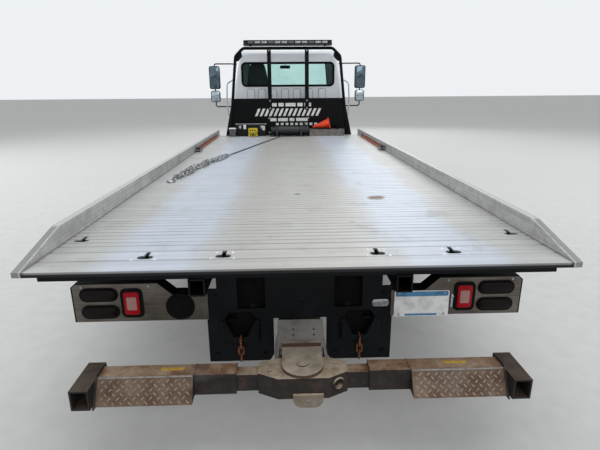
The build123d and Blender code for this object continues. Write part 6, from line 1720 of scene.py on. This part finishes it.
def tyre(bm, x, y, blocks, depth):
    """Tyre with four grooves round it and notches cut across its shoulders and ribs."""
    before = set(bm.faces)
    lathe(bm, TYRE_PROFILE, (x, y, AXLE_Z), ACROSS, blocks * 2)
    made = [face for face in bm.faces if face not in before]
    bmesh.ops.recalc_face_normals(bm, faces=made)
    notched = []
    for face in made:
        middle = face.calc_center_median()
        out = math.hypot(middle.y - y, middle.z - AXLE_Z)
        along = abs(middle.x - x)
        turn = math.atan2(middle.z - AXLE_Z, middle.y - y) / math.tau * blocks * 2
        on_tread = out > CROWN and any(near < along < far for near, far in (SHOULDER, RIB))
        if on_tread and math.floor(turn) % 2 == 0:
            notched.append(face)
    bmesh.ops.inset_individual(bm, faces=notched, thickness=0.0045, depth=-depth, use_even_offset=True)


NUT_PARTS = (
    # out from the rim, radius, length, sides, rounding: washer, nut, end of the stud
    (0.0, 0.023, 0.006, 16, 0.001), (0.012, 0.0165, 0.022, 6, 0.002), (0.026, 0.009, 0.014, 10, 0.001),
)
NUT_RING, CAP_RING = 0.135, 0.058  # radii on which the nuts and the hub cap's bolts stand


class TRUCK_OT_wheels(bpy.types.Operator):
    """Builds the tyres with their tread, and the nuts and caps of the wheels"""
    bl_idname = "truck.wheels"
    bl_label = "Wheels"

    def execute(self, context):
        wheels = context.scene.truck_wheels
        for side, name in ((-1, "left"), (1, "right")):
            bm = bmesh.new()
            tyre(bm, side * 1.035, FRONT_AXLE_Y, wheels.tread_blocks, wheels.groove_depth * 0.6)
            piece("front_tyre_" + name, bm, "front_wheel_" + name, ["tyre"],
                  ["tyre_front_" + name])
            bm = bmesh.new()
            for x in (0.775, 1.067):
                tyre(bm, side * x, REAR_AXLE_Y, wheels.tread_blocks, wheels.groove_depth * 0.8)
            piece("rear_tyres_" + name, bm, "rear_wheels_" + name, ["tyre"],
                  ["tyres_rear_" + name])
            for wheel, body, y, face, hub in (
                    ("front", "front_wheel_" + name, FRONT_AXLE_Y, 1.1455, 1.2005),
                    ("rear", "rear_wheels_" + name, REAR_AXLE_Y, 0.9405, 1.1275)):
                bm = bmesh.new()
                for step in range(wheels.nut_count):
                    angle = math.tau * (step + 0.5) / wheels.nut_count
                    place = Vector((side * face, y, AXLE_Z)) + NUT_RING * Vector(
                        (0, math.cos(angle), math.sin(angle)))
                    for out, radius, length, sides, edge in NUT_PARTS:
                        disc(bm, place + Vector((side * out, 0, 0)), (side, 0, 0), radius, length, sides, edge)
                for step in range(8):
                    angle = math.tau * step / 8
                    place = Vector((side * hub, y, AXLE_Z)) + CAP_RING * Vector(
                        (0, math.cos(angle), math.sin(angle)))
                    disc(bm, place, (side, 0, 0), 0.0075, 0.007, 6, 0.001)
                disc(bm, (side * (hub + 0.001), y, AXLE_Z), (side, 0, 0), 0.034, 0.01, 24, 0.003)
                piece(wheel + "_nuts_" + name, bm, body, ["steel_zinc"])
        return {"FINISHED"}


# Chassis fittings

def band(bm, centre, inner, outer, half, steps):
    """A flat hoop round a tank or muffler that lies along Y."""
    lathe(bm, [(-half, inner), (-half, outer), (half, outer), (half, inner), (-half, inner)], centre,
          FORWARD, steps)


class TRUCK_OT_chassis(bpy.types.Operator):
    """Adds the tank's bands and cap, the step treads, box latches and exhaust clamps"""
    bl_idname = "truck.chassis"
    bl_label = "Chassis fittings"

    def execute(self, context):
        bm = bmesh.new()
        for y in (2.38, 3.08):
            band(bm, (-0.8, y, 0.56), 0.2605, 0.2635, 0.018, 64)
        disc(bm, (-0.9, 2.56, 0.812), (-0.35, 0, 0.94), 0.05, 0.03, 32, 0.006)
        disc(bm, (-0.905, 2.56, 0.83), (-0.35, 0, 0.94), 0.04, 0.026, 12, 0.006, 1)
        piece("tank_bands_and_cap", bm, "chassis", ["steel_zinc", "plastic"])

        bm = bmesh.new()
        for side, rear, front in ((-1, 2.36, 3.1), (1, 2.42, 3.08)):
            for z in (0.46, 0.73):
                count = int((front - rear) / 0.04)
                for step in range(count):
                    y = rear + 0.02 + step * 0.04
                    block(bm, (side * 1.036, y, z), (side * 1.114, y + 0.01, z + 0.003), 0.001, 1)
        piece("cab_step_treads", bm, "chassis", ["bright_aluminium"])

        bm = bmesh.new()
        for side in (-1, 1):
            block(bm, (side * 1.1795, 1.115, 0.655), (side * 1.186, 1.235, 0.705), 0.002)
            disc(bm, (side * 1.1865, 1.175, 0.68), (side, 0, 0), 0.016, 0.006, 20, 0.002, 1)
            for y in (0.82, 1.53):
                disc(bm, (side * 1.176, y, 0.438), FORWARD, 0.006, 0.09, 12)
        block(bm, (1.0325, 2.7, 0.69), (1.0385, 2.8, 0.74), 0.002)
        piece("box_latches", bm, "chassis", ["steel_zinc", "plastic"])

        bm = bmesh.new()
        for y in (-0.62, -0.2, 0.23):
            band(bm, (0.68, y, 0.56), 0.1102, 0.113, 0.014, 48)
            disc(bm, (0.68, y, 0.679), FORWARD, 0.006, 0.04, 8)
        piece("muffler_bands", bm, "chassis", ["muffler"])
        return {"FINISHED"}


# Panel, registration and the run

OPERATORS = (
    TRUCK_OT_stage, TRUCK_OT_rope, TRUCK_OT_finishes, TRUCK_OT_deck, TRUCK_OT_gear, TRUCK_OT_headboard,
    TRUCK_OT_winch, TRUCK_OT_tail_lamps, TRUCK_OT_wheel_lift, TRUCK_OT_cab, TRUCK_OT_front,
    TRUCK_OT_wheels, TRUCK_OT_chassis,
)
SETTINGS = (
    ("truck_view", TruckView), ("truck_paint", TruckPaint), ("truck_bed", TruckBed),
    ("truck_tail", TruckTail), ("truck_wheels", TruckWheels),
)


class TRUCK_PT_panel(bpy.types.Panel):
    """Lists the truck's pieces and settings"""
    bl_idname = "TRUCK_PT_panel"
    bl_label = "Flatbed tow truck"
    bl_space_type = "VIEW_3D"
    bl_region_type = "UI"
    bl_category = "Tow truck"

    def draw(self, context):
        column = self.layout.column(align=True)
        for operator in OPERATORS:
            column.operator(operator.bl_idname)
        for name, group in SETTINGS:
            box = self.layout.box()
            values = getattr(context.scene, name)
            for prop in group.__annotations__:
                box.prop(values, prop)


def register():
    for _, group in SETTINGS:
        bpy.utils.register_class(group)
    for operator in OPERATORS:
        bpy.utils.register_class(operator)
    bpy.utils.register_class(TRUCK_PT_panel)
    for name, group in SETTINGS:
        setattr(bpy.types.Scene, name, PointerProperty(type=group))


def unregister():
    for name, _ in SETTINGS:
        delattr(bpy.types.Scene, name)
    bpy.utils.unregister_class(TRUCK_PT_panel)
    for operator in reversed(OPERATORS):
        bpy.utils.unregister_class(operator)
    for _, group in reversed(SETTINGS):
        bpy.utils.unregister_class(group)


def main():
    register()
    for operator in OPERATORS:
        family, name = operator.bl_idname.split(".")
        getattr(getattr(bpy.ops, family), name)()


if __name__ == "__main__":
    main()
